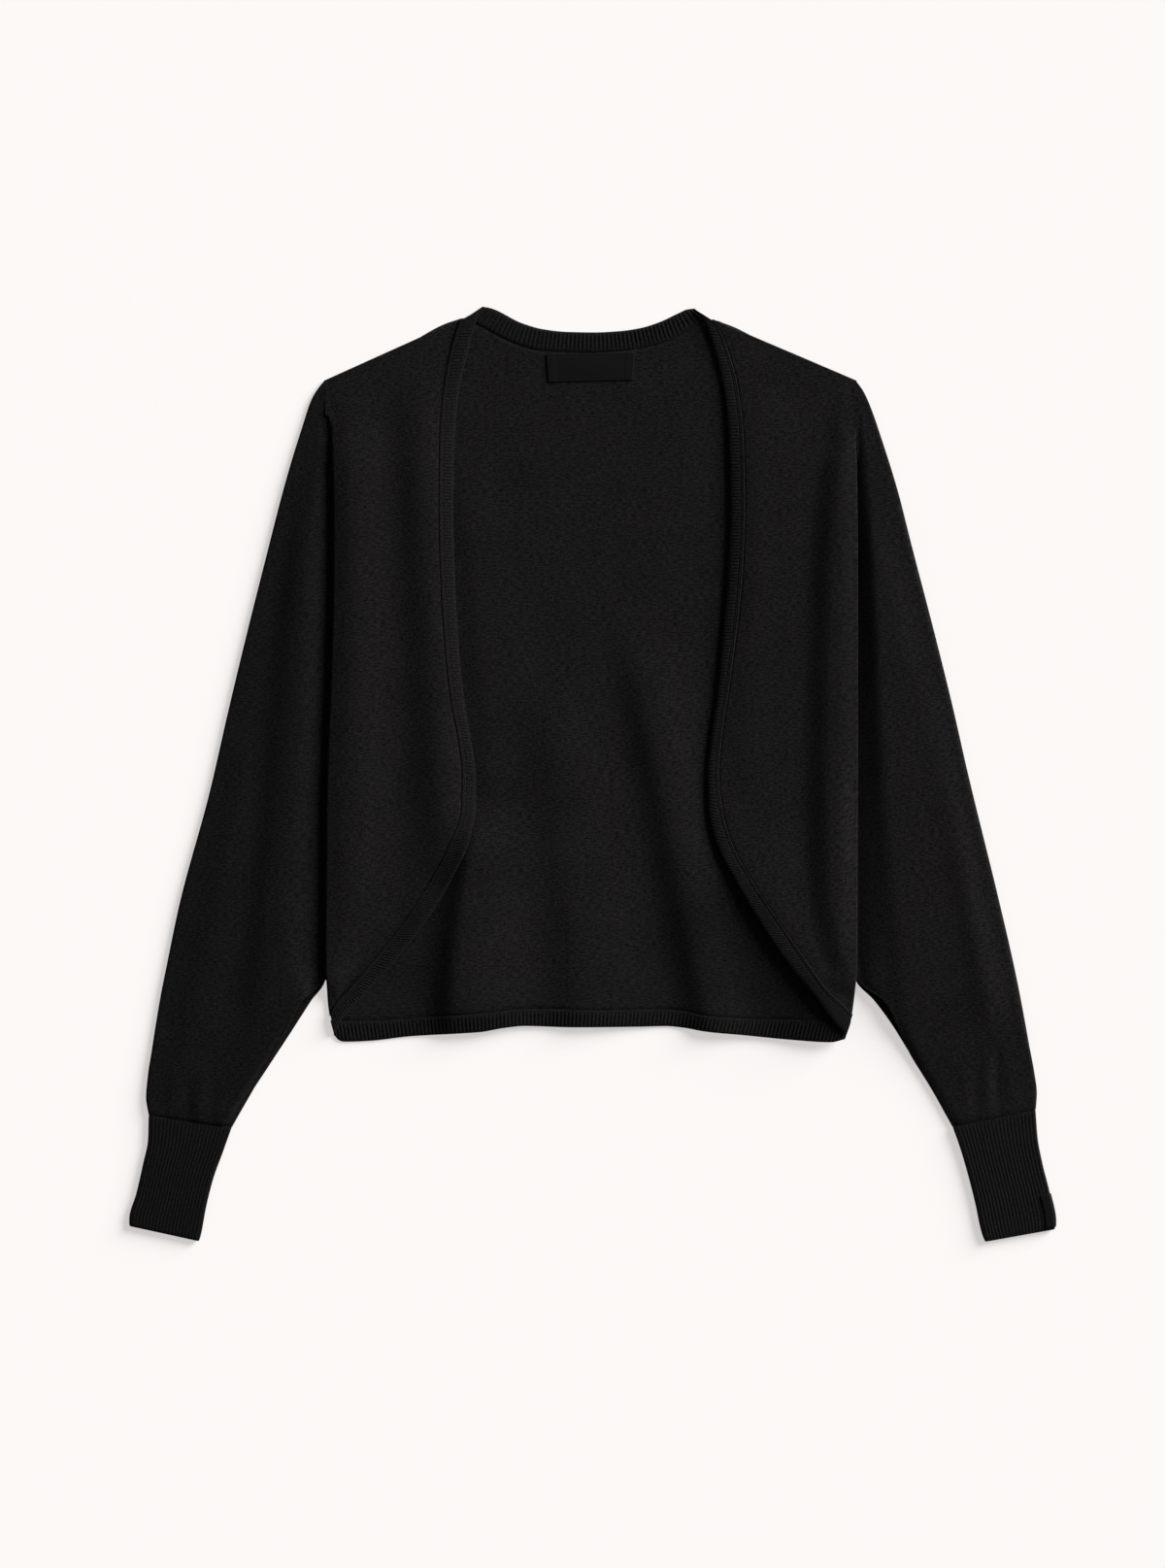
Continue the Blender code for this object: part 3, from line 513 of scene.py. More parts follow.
def sections(rows: Table, x_name: str, y_name: str, step: float) -> Table:
    """The table's columns at even steps along one of its lines.

    Args:
        rows: the table.
        x_name: the column that holds the line's x.
        y_name: the column that holds the line's y.
        step: the most that two sections may be apart, in millimetres.

    Returns:
        The table again, with a row for each section.
    """
    knots = run_of(rows[x_name], rows[y_name])
    at = np.linspace(0.0, knots[-1], math.ceil(knots[-1] / step) + 1)
    found = {name: smooth(knots, column, at) for name, column in rows.items()}
    found["run"] = at
    return found


def pair(rows: Table, name: str) -> Array:
    """The columns NAME_x and NAME_y as points."""
    return np.stack([rows[f"{name}_x"], rows[f"{name}_y"]], -1)


def side_at(hand: Hand, name: str, y: Array) -> Array:
    """A column of the side table at the heights y, held at its ends."""
    side = SIDE[hand]
    return smooth(side["y"], side[name], np.clip(y, side["y"][0], side["y"][-1]))


def ridges(folds: Table, x: Array, y: Array) -> Array:
    """Height of the soft folds at each point.

    Each is a bell across its line, exp(-(d / half width)^2), with its own half width
    on either side, times an even S of 1.4 sin(pi t), so it holds its height for half
    its length and fades at both ends. The line bows aside by 4 b t (1 - t).

    Args:
        folds: a table with the fold columns.
        x: places across.
        y: places along.

    Returns:
        The sum of the folds' heights.
    """
    height = np.zeros(np.broadcast(x, y).shape)
    for from_x, from_y, to_x, to_y, bow, left, right, peak in zip(*folds.values()):
        run_x, run_y = to_x - from_x, to_y - from_y
        length = math.hypot(run_x, run_y)
        along = ((x - from_x) * run_x + (y - from_y) * run_y) / length**2
        across = ((y - from_y) * run_x - (x - from_x) * run_y) / length
        inside = np.clip(along, 0.0, 1.0)
        across = across - bow * 4 * inside * (1 - inside)
        fade = smoothstep(1.4 * np.sin(math.pi * inside))
        height += peak * fade * bell(across, 0.0, np.where(across < 0, left, right))
    return height


def ripple(x: Array, y: Array, seed: int, height: float) -> Array:
    """Faint unevenness of cloth that was smoothed by hand.

    The sum of sixteen plane waves 22 to 90 mm long, each with its own direction and
    start, sin(2 pi (x cos a + y sin a) / length + start), divided by four.

    Args:
        x: places across.
        y: places along.
        seed: which set of waves.
        height: the usual height of the result, in millimetres.

    Returns:
        The height at each point, about zero.
    """
    draw = np.random.default_rng(seed)
    waves = 16
    lengths = draw.uniform(22.0, 90.0, waves)
    turns = draw.uniform(0.0, math.pi, waves)
    starts = draw.uniform(0.0, 2 * math.pi, waves)
    total = np.zeros(np.broadcast(x, y).shape)
    for length, turn, start in zip(lengths, turns, starts):
        total += np.sin(2 * math.pi * (x * math.cos(turn) + y * math.sin(turn)) / length + start)
    return height * total / math.sqrt(waves)


def back_rise(x: Array, y: Array) -> Array:
    """How far the back stands off the surface: its folds, which what lies on it follows."""
    return ridges(BACK_FOLDS, x, y)


def place(start: Array, end: Array, s: Array, z: Array) -> Array:
    """Points on a fan of straight sections.

    Each lies at its section's start, plus s times the unit vector from start to end,
    at the height z.

    Args:
        start: the sections' first plan points.
        end: the plan points that they aim at.
        s: distances along each section, a row for each.
        z: heights, in the same shape.

    Returns:
        Points in rows and columns.
    """
    run = end - start
    run = run / np.linalg.norm(run, axis=-1, keepdims=True)
    plan = start[:, None, :] + s[..., None] * run[:, None, :]
    return np.concatenate([plan, z[..., None]], axis=-1)


def unit(vectors: Array) -> Array:
    """The vectors at length 1, and those with no length left as they are."""
    length = np.linalg.norm(vectors, axis=-1, keepdims=True)
    return vectors / np.where(length > 1e-9, length, 1.0)


@dataclass
class Shell:
    """A closed wall of cloth about a grid of middle points, in millimetres.

    The upper face is the middle plus half the thickness and the raised height along
    the normal, the lower face is the middle less half the thickness, and every open
    edge is rounded by a line of points that stand out at mid height.
    """

    middle: Array
    thickness: float
    pattern: Array | None = None
    raised: Array | float = 0.0
    ring: bool = False
    rounding: float = 0.35

    def normals(self) -> Array:
        """Unit normals that point out of the upper face.

        The cross product of the two central differences, turned up or outwards.

        Returns:
            One vector for each grid point.
        """
        if self.ring:
            across = np.roll(self.middle, -1, 1) - np.roll(self.middle, 1, 1)
        else:
            across = np.gradient(self.middle, axis=1)
        return unit(np.cross(across, np.gradient(self.middle, axis=0))) * self.sense()

    def sense(self) -> float:
        """Which way the grid's own normals point.

        Returns:
            1 where columns crossed with rows already point outwards, or else -1.
        """
        rows = np.gradient(self.middle, axis=0)
        if self.ring:
            across = np.roll(self.middle, -1, 1) - np.roll(self.middle, 1, 1)
            out = self.middle - self.middle.mean(axis=1, keepdims=True)
        else:
            across = np.gradient(self.middle, axis=1)[:, -4:-1]
            rows = rows[:, -4:-1]
            out = np.array([0.0, 0.0, 1.0])
        return 1.0 if (np.cross(across, rows) * out).sum() > 0 else -1.0

    def borders(self) -> list[Array]:
        """The grid's open edges.

        Returns:
            Closed loops of point numbers, with the faces on their left.
        """
        rows, columns = self.middle.shape[:2]
        index = np.arange(rows * columns).reshape(rows, columns)
        if self.ring:
            return [index[0], index[-1][::-1]]
        return [np.concatenate([index[0], index[1:, -1], index[-1, -2::-1], index[-2:0:-1, 0]])]

    def away(self) -> Array:
        """Directions out of the cloth at its open edges.

        Returns:
            Unit vectors in the cloth's own surface, nought away from its edges.
        """
        out = np.zeros_like(self.middle)
        out[0] += unit(self.middle[0] - self.middle[1])
        out[-1] += unit(self.middle[-1] - self.middle[-2])
        if not self.ring:
            out[:, 0] += unit(self.middle[:, 0] - self.middle[:, 1])
            out[:, -1] += unit(self.middle[:, -1] - self.middle[:, -2])
        return unit(out)

    def quads(self) -> Array:
        """The grid's quads.

        Returns:
            Four corner numbers for each, in the order column, then row.
        """
        rows, columns = self.middle.shape[:2]
        index = np.arange(rows * columns).reshape(rows, columns)
        if self.ring:
            index = np.concatenate([index, index[:, :1]], axis=1)
        corners = [index[:-1, :-1], index[:-1, 1:], index[1:, 1:], index[1:, :-1]]
        return np.stack(corners, -1).reshape(-1, 4)

    def build(self, name: str) -> bpy.types.Object:
        """Puts both faces and the rounded edges into one mesh.

        Args:
            name: the piece's name.

        Returns:
            The new object, which sits at the origin.
        """
        count = self.middle.shape[0] * self.middle.shape[1]
        normals = self.normals()
        half = self.thickness / 2
        raised = np.broadcast_to(np.asarray(self.raised, float), self.middle.shape[:2])
        upper = (self.middle + normals * (half + raised)[..., None]).reshape(-1, 3)
        lower = (self.middle - normals * half).reshape(-1, 3)
        quads = self.quads()
        faces = [quads, quads[:, ::-1] + count]
        points = [upper, lower]
        if self.pattern is None:
            plain = self.middle[..., :2] + self.middle[..., 2:]
            pattern = plain.reshape(-1, 2)
        else:
            pattern = self.pattern.reshape(-1, 2)
        knit = [pattern, pattern]
        away = self.away().reshape(-1, 3)
        first = 2 * count
        for loop in self.borders():
            edge = first + np.arange(len(loop))
            points.append((upper[loop] + lower[loop]) / 2 + away[loop] * self.thickness * self.rounding)
            knit.append(pattern[loop])
            ahead, edge_ahead = np.roll(loop, -1), np.roll(edge, -1)
            faces.append(np.stack([ahead, loop, edge, edge_ahead], -1))
            faces.append(np.stack([edge_ahead, edge, loop + count, ahead + count], -1))
            first += len(loop)
        every = np.concatenate(faces)
        if self.sense() < 0:
            every = every[:, ::-1]
        return mesh_piece(name, np.concatenate(points), every, np.concatenate(knit))


def plan_shift() -> Array:
    """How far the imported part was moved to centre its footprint, found from its label."""
    low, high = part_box("neck_label")
    return np.array([low.x / MM - LABEL["x"].min(), high.y / MM - LABEL["y"].max(), 0.0])


def mesh_piece(name: str, points: Array, faces: Array, pattern: Array) -> bpy.types.Object:
    """Makes an object from points in the garment's plan.

    Args:
        name: the object's name.
        points: the points, in millimetres.
        faces: corner numbers, four to a face.
        pattern: each point's place in the knit, in millimetres.

    Returns:
        The object, smooth shaded, with a UV map named knit.
    """
    mesh = bpy.data.meshes.new(name)
    mesh.from_pydata(((points + plan_shift()) * MM).tolist(), [], faces.tolist())
    corners = np.empty(len(mesh.loops), np.int32)
    mesh.loops.foreach_get("vertex_index", corners)
    layer = mesh.uv_layers.new(name="knit")
    layer.data.foreach_set("uv", pattern[corners].ravel().astype(np.float32))
    mesh.polygons.foreach_set("use_smooth", np.ones(len(mesh.polygons), bool))
    mesh.update()
    piece = bpy.data.objects.new(name, mesh)
    bpy.context.scene.collection.objects.link(piece)
    return piece


@dataclass(frozen=True)
class Cut:
    """The flat cloth that a piece was cut or knitted to, in metres and square metres."""

    width: float
    length: float
    area: float
    held: Held = Held.LAID


def hand_over(
    piece: bpy.types.Object,
    node: str,
    finish: bpy.types.Material,
) -> bpy.types.Object:
    """Dresses a piece, attaches it to the body and hides the CAD node that it replaces.

    Args:
        piece: the new object.
        node: the CAD node that it replaces.
        finish: the material.

    Returns:
        The same object.
    """
    piece.data.materials.append(finish)
    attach(piece, BODY)
    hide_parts(node)
    triangles = 2 * len(piece.data.polygons)
    LOG.info("%s: %d triangles on node %s", piece.name, triangles, node)
    return piece


class Graph:
    """A node tree with short ways to add and join nodes."""

    def __init__(self, tree: bpy.types.NodeTree) -> None:
        """Keeps the tree that nodes are added to."""
        self.tree = tree

    def node(self, kind: str, **settings: object) -> bpy.types.Node:
        """Adds a node.

        Args:
            kind: the node's type.
            settings: its properties.

        Returns:
            The node.
        """
        made = self.tree.nodes.new(kind)
        for name, value in settings.items():
            setattr(made, name, value)
        return made

    def feed(self, socket: bpy.types.NodeSocket, value: object) -> None:
        """Links an output to an input, or sets the input to a number or colour.

        Args:
            socket: the input.
            value: an output, or a number or colour.
        """
        if isinstance(value, bpy.types.NodeSocket):
            self.tree.links.new(value, socket)
        else:
            socket.default_value = value

    def math(self, operation: str, *values: object) -> bpy.types.NodeSocket:
        """A Math node.

        Args:
            operation: its operation.
            values: outputs or numbers, one for each input used.

        Returns:
            Its output.
        """
        made = self.node("ShaderNodeMath", operation=operation)
        for socket, value in zip(made.inputs, values):
            self.feed(socket, value)
        return made.outputs[0]

    def blend(self, share: object, low: object, high: object) -> bpy.types.NodeSocket:
        """A colour mix.

        Args:
            share: how much of the second colour, from 0 to 1.
            low: the first colour.
            high: the second colour.

        Returns:
            The mixed colour.
        """
        made = self.node("ShaderNodeMix", data_type="RGBA")
        for name, value in (("Factor_Float", share), ("A_Color", low), ("B_Color", high)):
            self.feed(next(item for item in made.inputs if item.identifier == name), value)
        return next(item for item in made.outputs if item.identifier == "Result_Color")

    def apart(self, vector: object) -> tuple[bpy.types.NodeSocket, bpy.types.NodeSocket]:
        """Takes a vector apart with a Separate XYZ node.

        Args:
            vector: an output that gives a vector.

        Returns:
            Its first and second part.
        """
        made = self.node("ShaderNodeSeparateXYZ")
        self.feed(made.inputs[0], vector)
        return made.outputs[0], made.outputs[1]

    def together(self, *parts: object) -> bpy.types.NodeSocket:
        """Puts a vector together with a Combine XYZ node.

        Args:
            parts: outputs or numbers, up to three.

        Returns:
            The vector.
        """
        made = self.node("ShaderNodeCombineXYZ")
        for socket, part in zip(made.inputs, parts):
            self.feed(socket, part)
        return made.outputs[0]

    def bump(self, height: object, strength: float, distance: float) -> bpy.types.NodeSocket:
        """A Bump node.

        Args:
            height: an output from 0 to 1 or so.
            strength: how much of the relief shows.
            distance: the relief's depth in metres.

        Returns:
            The normal.
        """
        made = self.node("ShaderNodeBump")
        made.inputs["Strength"].default_value = strength
        made.inputs["Distance"].default_value = distance
        self.feed(made.inputs["Height"], height)
        return made.outputs["Normal"]

    def group(self, tree: bpy.types.NodeTree, vector: object, **values: float) -> bpy.types.Node:
        """Places a node group.

        Args:
            tree: the shared group.
            vector: what feeds its Vector.
            values: its own numbers, by input name.

        Returns:
            The group's node.
        """
        made = self.node("ShaderNodeGroup")
        made.node_tree = tree
        self.feed(made.inputs["Vector"], vector)
        for name, value in values.items():
            made.inputs[name].default_value = value
        return made

    def noise(self, vector: object, scale: float, detail: float) -> bpy.types.NodeSocket:
        """A Noise texture.

        Args:
            vector: the places that it is read at.
            scale: its scale.
            detail: how many finer layers it has.

        Returns:
            Its value.
        """
        made = self.node("ShaderNodeTexNoise")
        self.feed(made.inputs["Vector"], vector)
        made.inputs["Scale"].default_value = scale
        made.inputs["Detail"].default_value = detail
        return made.outputs["Fac"]


def new_group(name: str, numbers: dict[str, float], outputs: list[str]) -> tuple:
    """Starts a shader node group with named sockets.

    Args:
        name: the group's name.
        numbers: number inputs with their defaults, which follow the input Vector.
        outputs: names of the number outputs.

    Returns:
        The group's tree, its graph, its input node and its output node.
    """
    tree = bpy.data.node_groups.new(name, "ShaderNodeTree")
    tree.interface.new_socket("Vector", in_out="INPUT", socket_type="NodeSocketVector")
    for label, default in numbers.items():
        socket = tree.interface.new_socket(label, in_out="INPUT", socket_type="NodeSocketFloat")
        socket.default_value = default
    for label in outputs:
        tree.interface.new_socket(label, in_out="OUTPUT", socket_type="NodeSocketFloat")
    graph = Graph(tree)
    return tree, graph, graph.node("NodeGroupInput"), graph.node("NodeGroupOutput")


def new_material(title: str) -> tuple[bpy.types.Material, Graph, bpy.types.Node]:
    """Starts a material.

    Args:
        title: the material's name.

    Returns:
        The material, its graph and its Principled shader.
    """
    made = bpy.data.materials.new(title)
    made.use_nodes = True
    return made, Graph(made.node_tree), made.node_tree.nodes["Principled BSDF"]


def knit_group() -> bpy.types.NodeTree:
    """Relief of the knit face: columns of V stitches.

    Across a wale the height is the size of sin(2 pi u), two legs a stitch. Along it
    is 0.45 + 0.55 sin(pi w), with w the fraction of v + 0.7 |u - 0.5|, so the legs
    slant and each stitch swells in its middle.

    Returns:
        The group, with inputs Vector, Wale and Course and the output Height.
    """
    tree, graph, given, out = new_group("knit_stitches", {"Wale": 1.25, "Course": 0.95}, ["Height"])
    across, along = graph.apart(given.outputs["Vector"])
    u = graph.math("FRACT", graph.math("DIVIDE", across, given.outputs["Wale"]))
    v = graph.math("DIVIDE", along, given.outputs["Course"])
    legs = graph.math("ABSOLUTE", graph.math("SINE", graph.math("MULTIPLY", u, 2 * math.pi)))
    slant = graph.math("MULTIPLY", graph.math("ABSOLUTE", graph.math("SUBTRACT", u, 0.5)), 1.4)
    w = graph.math("FRACT", graph.math("ADD", v, slant))
    swell = graph.math("MULTIPLY_ADD", graph.math("SINE", graph.math("MULTIPLY", w, math.pi)), 0.55, 0.45)
    graph.feed(out.inputs["Height"], graph.math("MULTIPLY", legs, swell))
    return tree


def purl_group() -> bpy.types.NodeTree:
    """Relief of the purl face: rows of short arcs.

    The height is half of 1 + sin(2 pi (v + 0.22 cos(2 pi u))).

    Returns:
        The group, with inputs Vector, Wale and Course and the output Height.
    """
    tree, graph, given, out = new_group("purl_stitches", {"Wale": 1.25, "Course": 0.95}, ["Height"])
    across, along = graph.apart(given.outputs["Vector"])
    u = graph.math("DIVIDE", across, given.outputs["Wale"])
    v = graph.math("DIVIDE", along, given.outputs["Course"])
    arcs = graph.math("COSINE", graph.math("MULTIPLY", u, 2 * math.pi))
    phase = graph.math("MULTIPLY_ADD", arcs, 0.22, v)
    wave = graph.math("SINE", graph.math("MULTIPLY", phase, 2 * math.pi))
    graph.feed(out.inputs["Height"], graph.math("MULTIPLY_ADD", wave, 0.5, 0.5))
    return tree


def heather_group() -> bpy.types.NodeTree:
    """Light and dark fibres that lie along the rows, and fewer along the columns.

    Two noises on the knit, one stretched along the rows and one along the columns,
    are added as 0.66 and 0.34, and the tone is 0.5 + 6 (sum - 0.5), cut to 0 and 1.
    The cloud is a third noise, 34 by 26 mm.

    Returns:
        The group, with inputs Vector, Length and Width and the outputs Tone and Cloud.
    """
    tree, graph, given, out = new_group("heather", {"Length": 4.0, "Width": 0.9}, ["Tone", "Cloud"])
    across, along = graph.apart(given.outputs["Vector"])

    def streaks(over_x: object, over_y: object, deep: float) -> bpy.types.NodeSocket:
        """Noise stretched by the lengths given, cut at its own depth."""
        shares = graph.math("DIVIDE", across, over_x), graph.math("DIVIDE", along, over_y)
        return graph.noise(graph.together(*shares, deep), 1.0, 2.0)

    rows = streaks(given.outputs["Length"], given.outputs["Width"], 3.0)
    columns = streaks(given.outputs["Width"], given.outputs["Length"], 17.0)
    mixed = graph.math("MULTIPLY_ADD", rows, 0.66, graph.math("MULTIPLY", columns, 0.34))
    sharper = graph.math("MULTIPLY_ADD", graph.math("SUBTRACT", mixed, 0.5), 6.0, 0.5)
    graph.feed(out.inputs["Tone"], graph.math("MINIMUM", graph.math("MAXIMUM", sharper, 0.0), 1.0))
    graph.feed(out.inputs["Cloud"], streaks(34.0, 26.0, 41.0))
    return tree


@dataclass(frozen=True)
class KnitFinish:
    """Matte black knit: heathered yarn, stitches in relief with painted shade in their hollows, and a faint
    halo of fibres.
    """

    title: str
    face: Face
    dark: tuple[float, float, float]
    light: tuple[float, float, float]
    wale: float = 1.25
    course: float = 0.95
    streak_length: float = 3.4
    streak_width: float = 0.85
    painted_stitch_shade: float = 0.2
    fleck_share: float = 0.74
    cloud_share: float = 0.3
    relief: float = 0.22
    fuzz: float = 0.1
    roughness: float = 0.92
    gloss: float = 0.12
    specular: float = 0.06
    sheen: float = 0.02

    def material(self, groups: dict[str, bpy.types.NodeTree]) -> bpy.types.Material:
        """Builds the material.

        Args:
            groups: the shared node groups by name.

        Returns:
            The material.
        """
        made, graph, surface = new_material(self.title)
        knit = graph.node("ShaderNodeUVMap", uv_map="knit").outputs["UV"]
        stitches = graph.group(groups[self.face.value], knit, Wale=self.wale, Course=self.course)
        streaks = {"Length": self.streak_length, "Width": self.streak_width}
        heather = graph.group(groups["heather"], knit, **streaks)
        fleck, cloud = heather.outputs["Tone"], heather.outputs["Cloud"]
        height = stitches.outputs["Height"]

        # The stitches' height lightens their crests and darkens their hollows: painted shade between the
        # stitches
        tone = graph.math("MULTIPLY", height, self.painted_stitch_shade)
        tone = graph.math("MULTIPLY_ADD", fleck, self.fleck_share, tone)
        tone = graph.math("MULTIPLY_ADD", cloud, self.cloud_share, tone)
        colour = graph.blend(tone, (*self.dark, 1.0), (*self.light, 1.0))
        graph.feed(surface.inputs["Base Color"], colour)
        rough = graph.math("MULTIPLY_ADD", fleck, -self.gloss, self.roughness + self.gloss / 2)
        graph.feed(surface.inputs["Roughness"], rough)

        fibres = graph.noise(knit, 1.7, 3.0)
        relief = graph.math("MULTIPLY_ADD", fibres, self.fuzz / self.relief, height)
        graph.feed(surface.inputs["Normal"], graph.bump(relief, 0.8, self.relief * MM))
        surface.inputs["Specular IOR Level"].default_value = self.specular
        surface.inputs["Sheen Weight"].default_value = self.sheen
        surface.inputs["Sheen Roughness"].default_value = 0.5
        return made


@dataclass(frozen=True)
class SatinFinish:
    """Black satin tape: long floats over fine picks, and a soft gleam."""

    title: str
    dark: tuple[float, float, float] = (0.0030, 0.0030, 0.0031)
    light: tuple[float, float, float] = (0.0068, 0.0068, 0.0067)
    pick: float = 0.32
    relief: float = 0.04
    roughness: float = 0.5
    specular: float = 0.05

    def material(self) -> bpy.types.Material:
        """Builds the material.

        The picks are half of 1 + sin(2 pi v / pick), and a noise stretched along the
        tape varies their colour as woven floats do.

        Returns:
            The material.
        """
        made, graph, surface = new_material(self.title)
        along, across = graph.apart(graph.node("ShaderNodeUVMap", uv_map="knit").outputs["UV"])
        turns = graph.math("MULTIPLY", across, 2 * math.pi / self.pick)
        picks = graph.math("MULTIPLY_ADD", graph.math("SINE", turns), 0.5, 0.5)
        stretched = graph.math("MULTIPLY", along, 0.55), graph.math("MULTIPLY", across, 3.1)
        floats = graph.noise(graph.together(*stretched), 1.0, 2.0)
        tone = graph.math("MULTIPLY_ADD", picks, 0.35, graph.math("MULTIPLY", floats, 0.65))
        colour = graph.blend(tone, (*self.dark, 1.0), (*self.light, 1.0))
        graph.feed(surface.inputs["Base Color"], colour)
        rough = graph.math("MULTIPLY_ADD", floats, 0.2, self.roughness - 0.1)
        graph.feed(surface.inputs["Roughness"], rough)
        raised = graph.math("ADD", picks, floats)
        graph.feed(surface.inputs["Normal"], graph.bump(raised, 0.5, self.relief * MM))
        surface.inputs["Specular IOR Level"].default_value = self.specular
        return made


@dataclass(frozen=True)
class FloorFinish:
    """Plain warm white paper, with part of its light from within to keep shadows faint."""

    title: str = "paper_floor"
    colour: tuple[float, float, float] = (0.42, 0.406, 0.402)
    glow: tuple[float, float, float, float] = (1.0, 0.967, 0.955, 1.0)
    glow_strength: float = 0.545

    def material(self) -> bpy.types.Material:
        """Builds the material.

        Returns:
            The material, whose colour has a tooth that only close views show.
        """
        made, graph, surface = new_material(self.title)
        places = graph.node("ShaderNodeTexCoord").outputs["Object"]
        lighter = tuple(part * 1.01 for part in self.colour)
        colour = graph.blend(graph.noise(places, 30.0, 2.0), (*self.colour, 1.0), (*lighter, 1.0))
        graph.feed(surface.inputs["Base Color"], colour)
        surface.inputs["Roughness"].default_value = 0.95
        surface.inputs["Specular IOR Level"].default_value = 0.0
        surface.inputs["Emission Color"].default_value = self.glow
        surface.inputs["Emission Strength"].default_value = self.glow_strength
        return made


@dataclass
class BackPanel:
    """The back, inside face up, with the soft folds that run down to the hem."""

    step: float = 3.2
    rows: int = 150
    inset: float = 1.3
    corner_y: float = -140.0
    shoulder_drop: float = 0.8
    unevenness: float = 0.12
    still_edge: float = 30.0
    cut: Cut = Cut(0.394, 0.522, 0.194)

    def plan(self) -> tuple[Array, Array]:
        """Plan points: rows from hem to neck, columns from left to right.

        Columns are evenly spaced between the marked points of the top edge. A point
        lies at the left side's x plus its share of the width, and between the hem seam
        and the top edge by its row's share. The sides are drawn in below the corner's
        height, and the shoulders end a little short, where the fronts roll over them.

        Returns:
            The points' x and y.
        """
        spans = np.abs(np.diff(BACK_TOP["x"]))
        ends = [
            np.linspace(index, index + 1, math.ceil(span / self.step), endpoint=False)
            for index, span in enumerate(spans)
        ]
        stations = np.concatenate([*ends, [float(len(spans))]])
        top_x = np.interp(stations, np.arange(len(BACK_TOP["x"])), BACK_TOP["x"])
        top_y = smooth(BACK_TOP["x"], BACK_TOP["y"], top_x)
        share = (top_x - top_x[0]) / (top_x[-1] - top_x[0])
        up = np.linspace(0.0, 1.0, self.rows + 1)[:, None]
        side_y = HEM_SEAM["y"][0] + up * (top_y[0] - HEM_SEAM["y"][0])
        tucked_in = self.inset * smoothstep((self.corner_y - side_y) / 12.0)
        left = side_at(Hand.LEFT, "x", side_y) + tucked_in
        right = side_at(Hand.RIGHT, "x", side_y) - tucked_in
        x = left + share * (right - left)
        within = np.clip(x, HEM_SEAM["x"][0], HEM_SEAM["x"][-1])
        low = smooth(HEM_SEAM["x"], HEM_SEAM["y"], within)
        on_shoulder = smoothstep((np.abs(top_x + 2.0) - 96.0) / 4.0)
        return x, low + up * (top_y - self.shoulder_drop * on_shoulder - low)

    def surface(self) -> Shell:
        """The panel's middle surface: half a wall up, plus folds and faint ripples.

        Returns:
            The shell.
        """
        x, y = self.plan()
        still = smoothstep((y + 178.0) / self.still_edge) * smoothstep((318.0 - y) / self.still_edge)
        faint = self.unevenness * still + ripple(x, y, 5, self.unevenness) * still
        z = BACK_HEIGHT + back_rise(x, y) + faint
        return Shell(np.stack([x, y, z], -1), SHEET)

    def build(self, finish: bpy.types.Material) -> None:
        """Builds and hands over the panel."""
        hand_over(self.surface().build("back_knit"), "back_panel", finish)


@dataclass
class RibBand:
    """A flat band with ribs across it, between an outer edge and a seam."""

    name: str
    node: str
    pitch: float
    cut: Cut
    crest: float = 0.6
    points_per_rib: int = 7
    rows_across: int = 9
    linking: float = 0.35

    def surface(self, edge: Array, seam: Array) -> Shell:
        """The band's middle surface.

        Points run straight from the edge to the seam. The upper face is raised by
        half the crest times 1 + cos of the rib's turn, which fades over the last
        millimetre before the seam, where a low linking ridge stands instead.

        Args:
            edge: plan points of the free edge.
            seam: plan points of the seam.

        Returns:
            The shell, whose pattern runs rib by rib.
        """
        length = run_of(*edge.T)
        ribs = round(length[-1] / self.pitch)
        at = np.linspace(0.0, 1.0, self.points_per_rib * ribs + 1)
        share = length / length[-1]
        edge = np.stack([smooth(share, edge[:, axis], at) for axis in (0, 1)], -1)
        seam = np.stack([smooth(share, seam[:, axis], at) for axis in (0, 1)], -1)
        across = np.linspace(0.0, 1.0, self.rows_across)[:, None]
        plan = edge + across[..., None] * (seam - edge)
        width = np.linalg.norm(seam - edge, axis=-1)[None, :]
        to_seam = (1 - across) * width
        rib = crests(ribs * at)[None, :]
        ribbed = smoothstep((to_seam - 1.2) / 1.2) * smoothstep(across * width / 0.8)
        raised = self.crest * rib * ribbed + self.linking * bell(to_seam, 0.9, 0.7)
        rise = back_rise(plan[..., 0], plan[..., 1])
        middle = np.concatenate([plan, (RIB_SHEET / 2 + 0.05 + rise)[..., None]], -1)
        pattern = np.stack([np.broadcast_to(at * ribs * self.pitch, rise.shape), across * width], -1)
        return Shell(middle, RIB_SHEET, pattern, raised)


@dataclass
class NeckBand(RibBand):
    """The ribbed band round the back of the neck."""

    name: str = "neck_rib"
    node: str = "neck_band"
    pitch: float = 2.9
    cut: Cut = Cut(0.195, 0.016, 0.0028)

    def build(self, finish: bpy.types.Material) -> None:
        """Lays the band along the top of the back panel.

        Args:
            finish: the rib.
        """
        x, y = BackPanel().plan()
        seam = np.stack([NECK["seam_x"], np.interp(NECK["seam_x"], x[-1], y[-1]) + 0.3], -1)
        shell = self.surface(pair(NECK, "edge"), seam)
        hand_over(shell.build(self.name), self.node, finish)


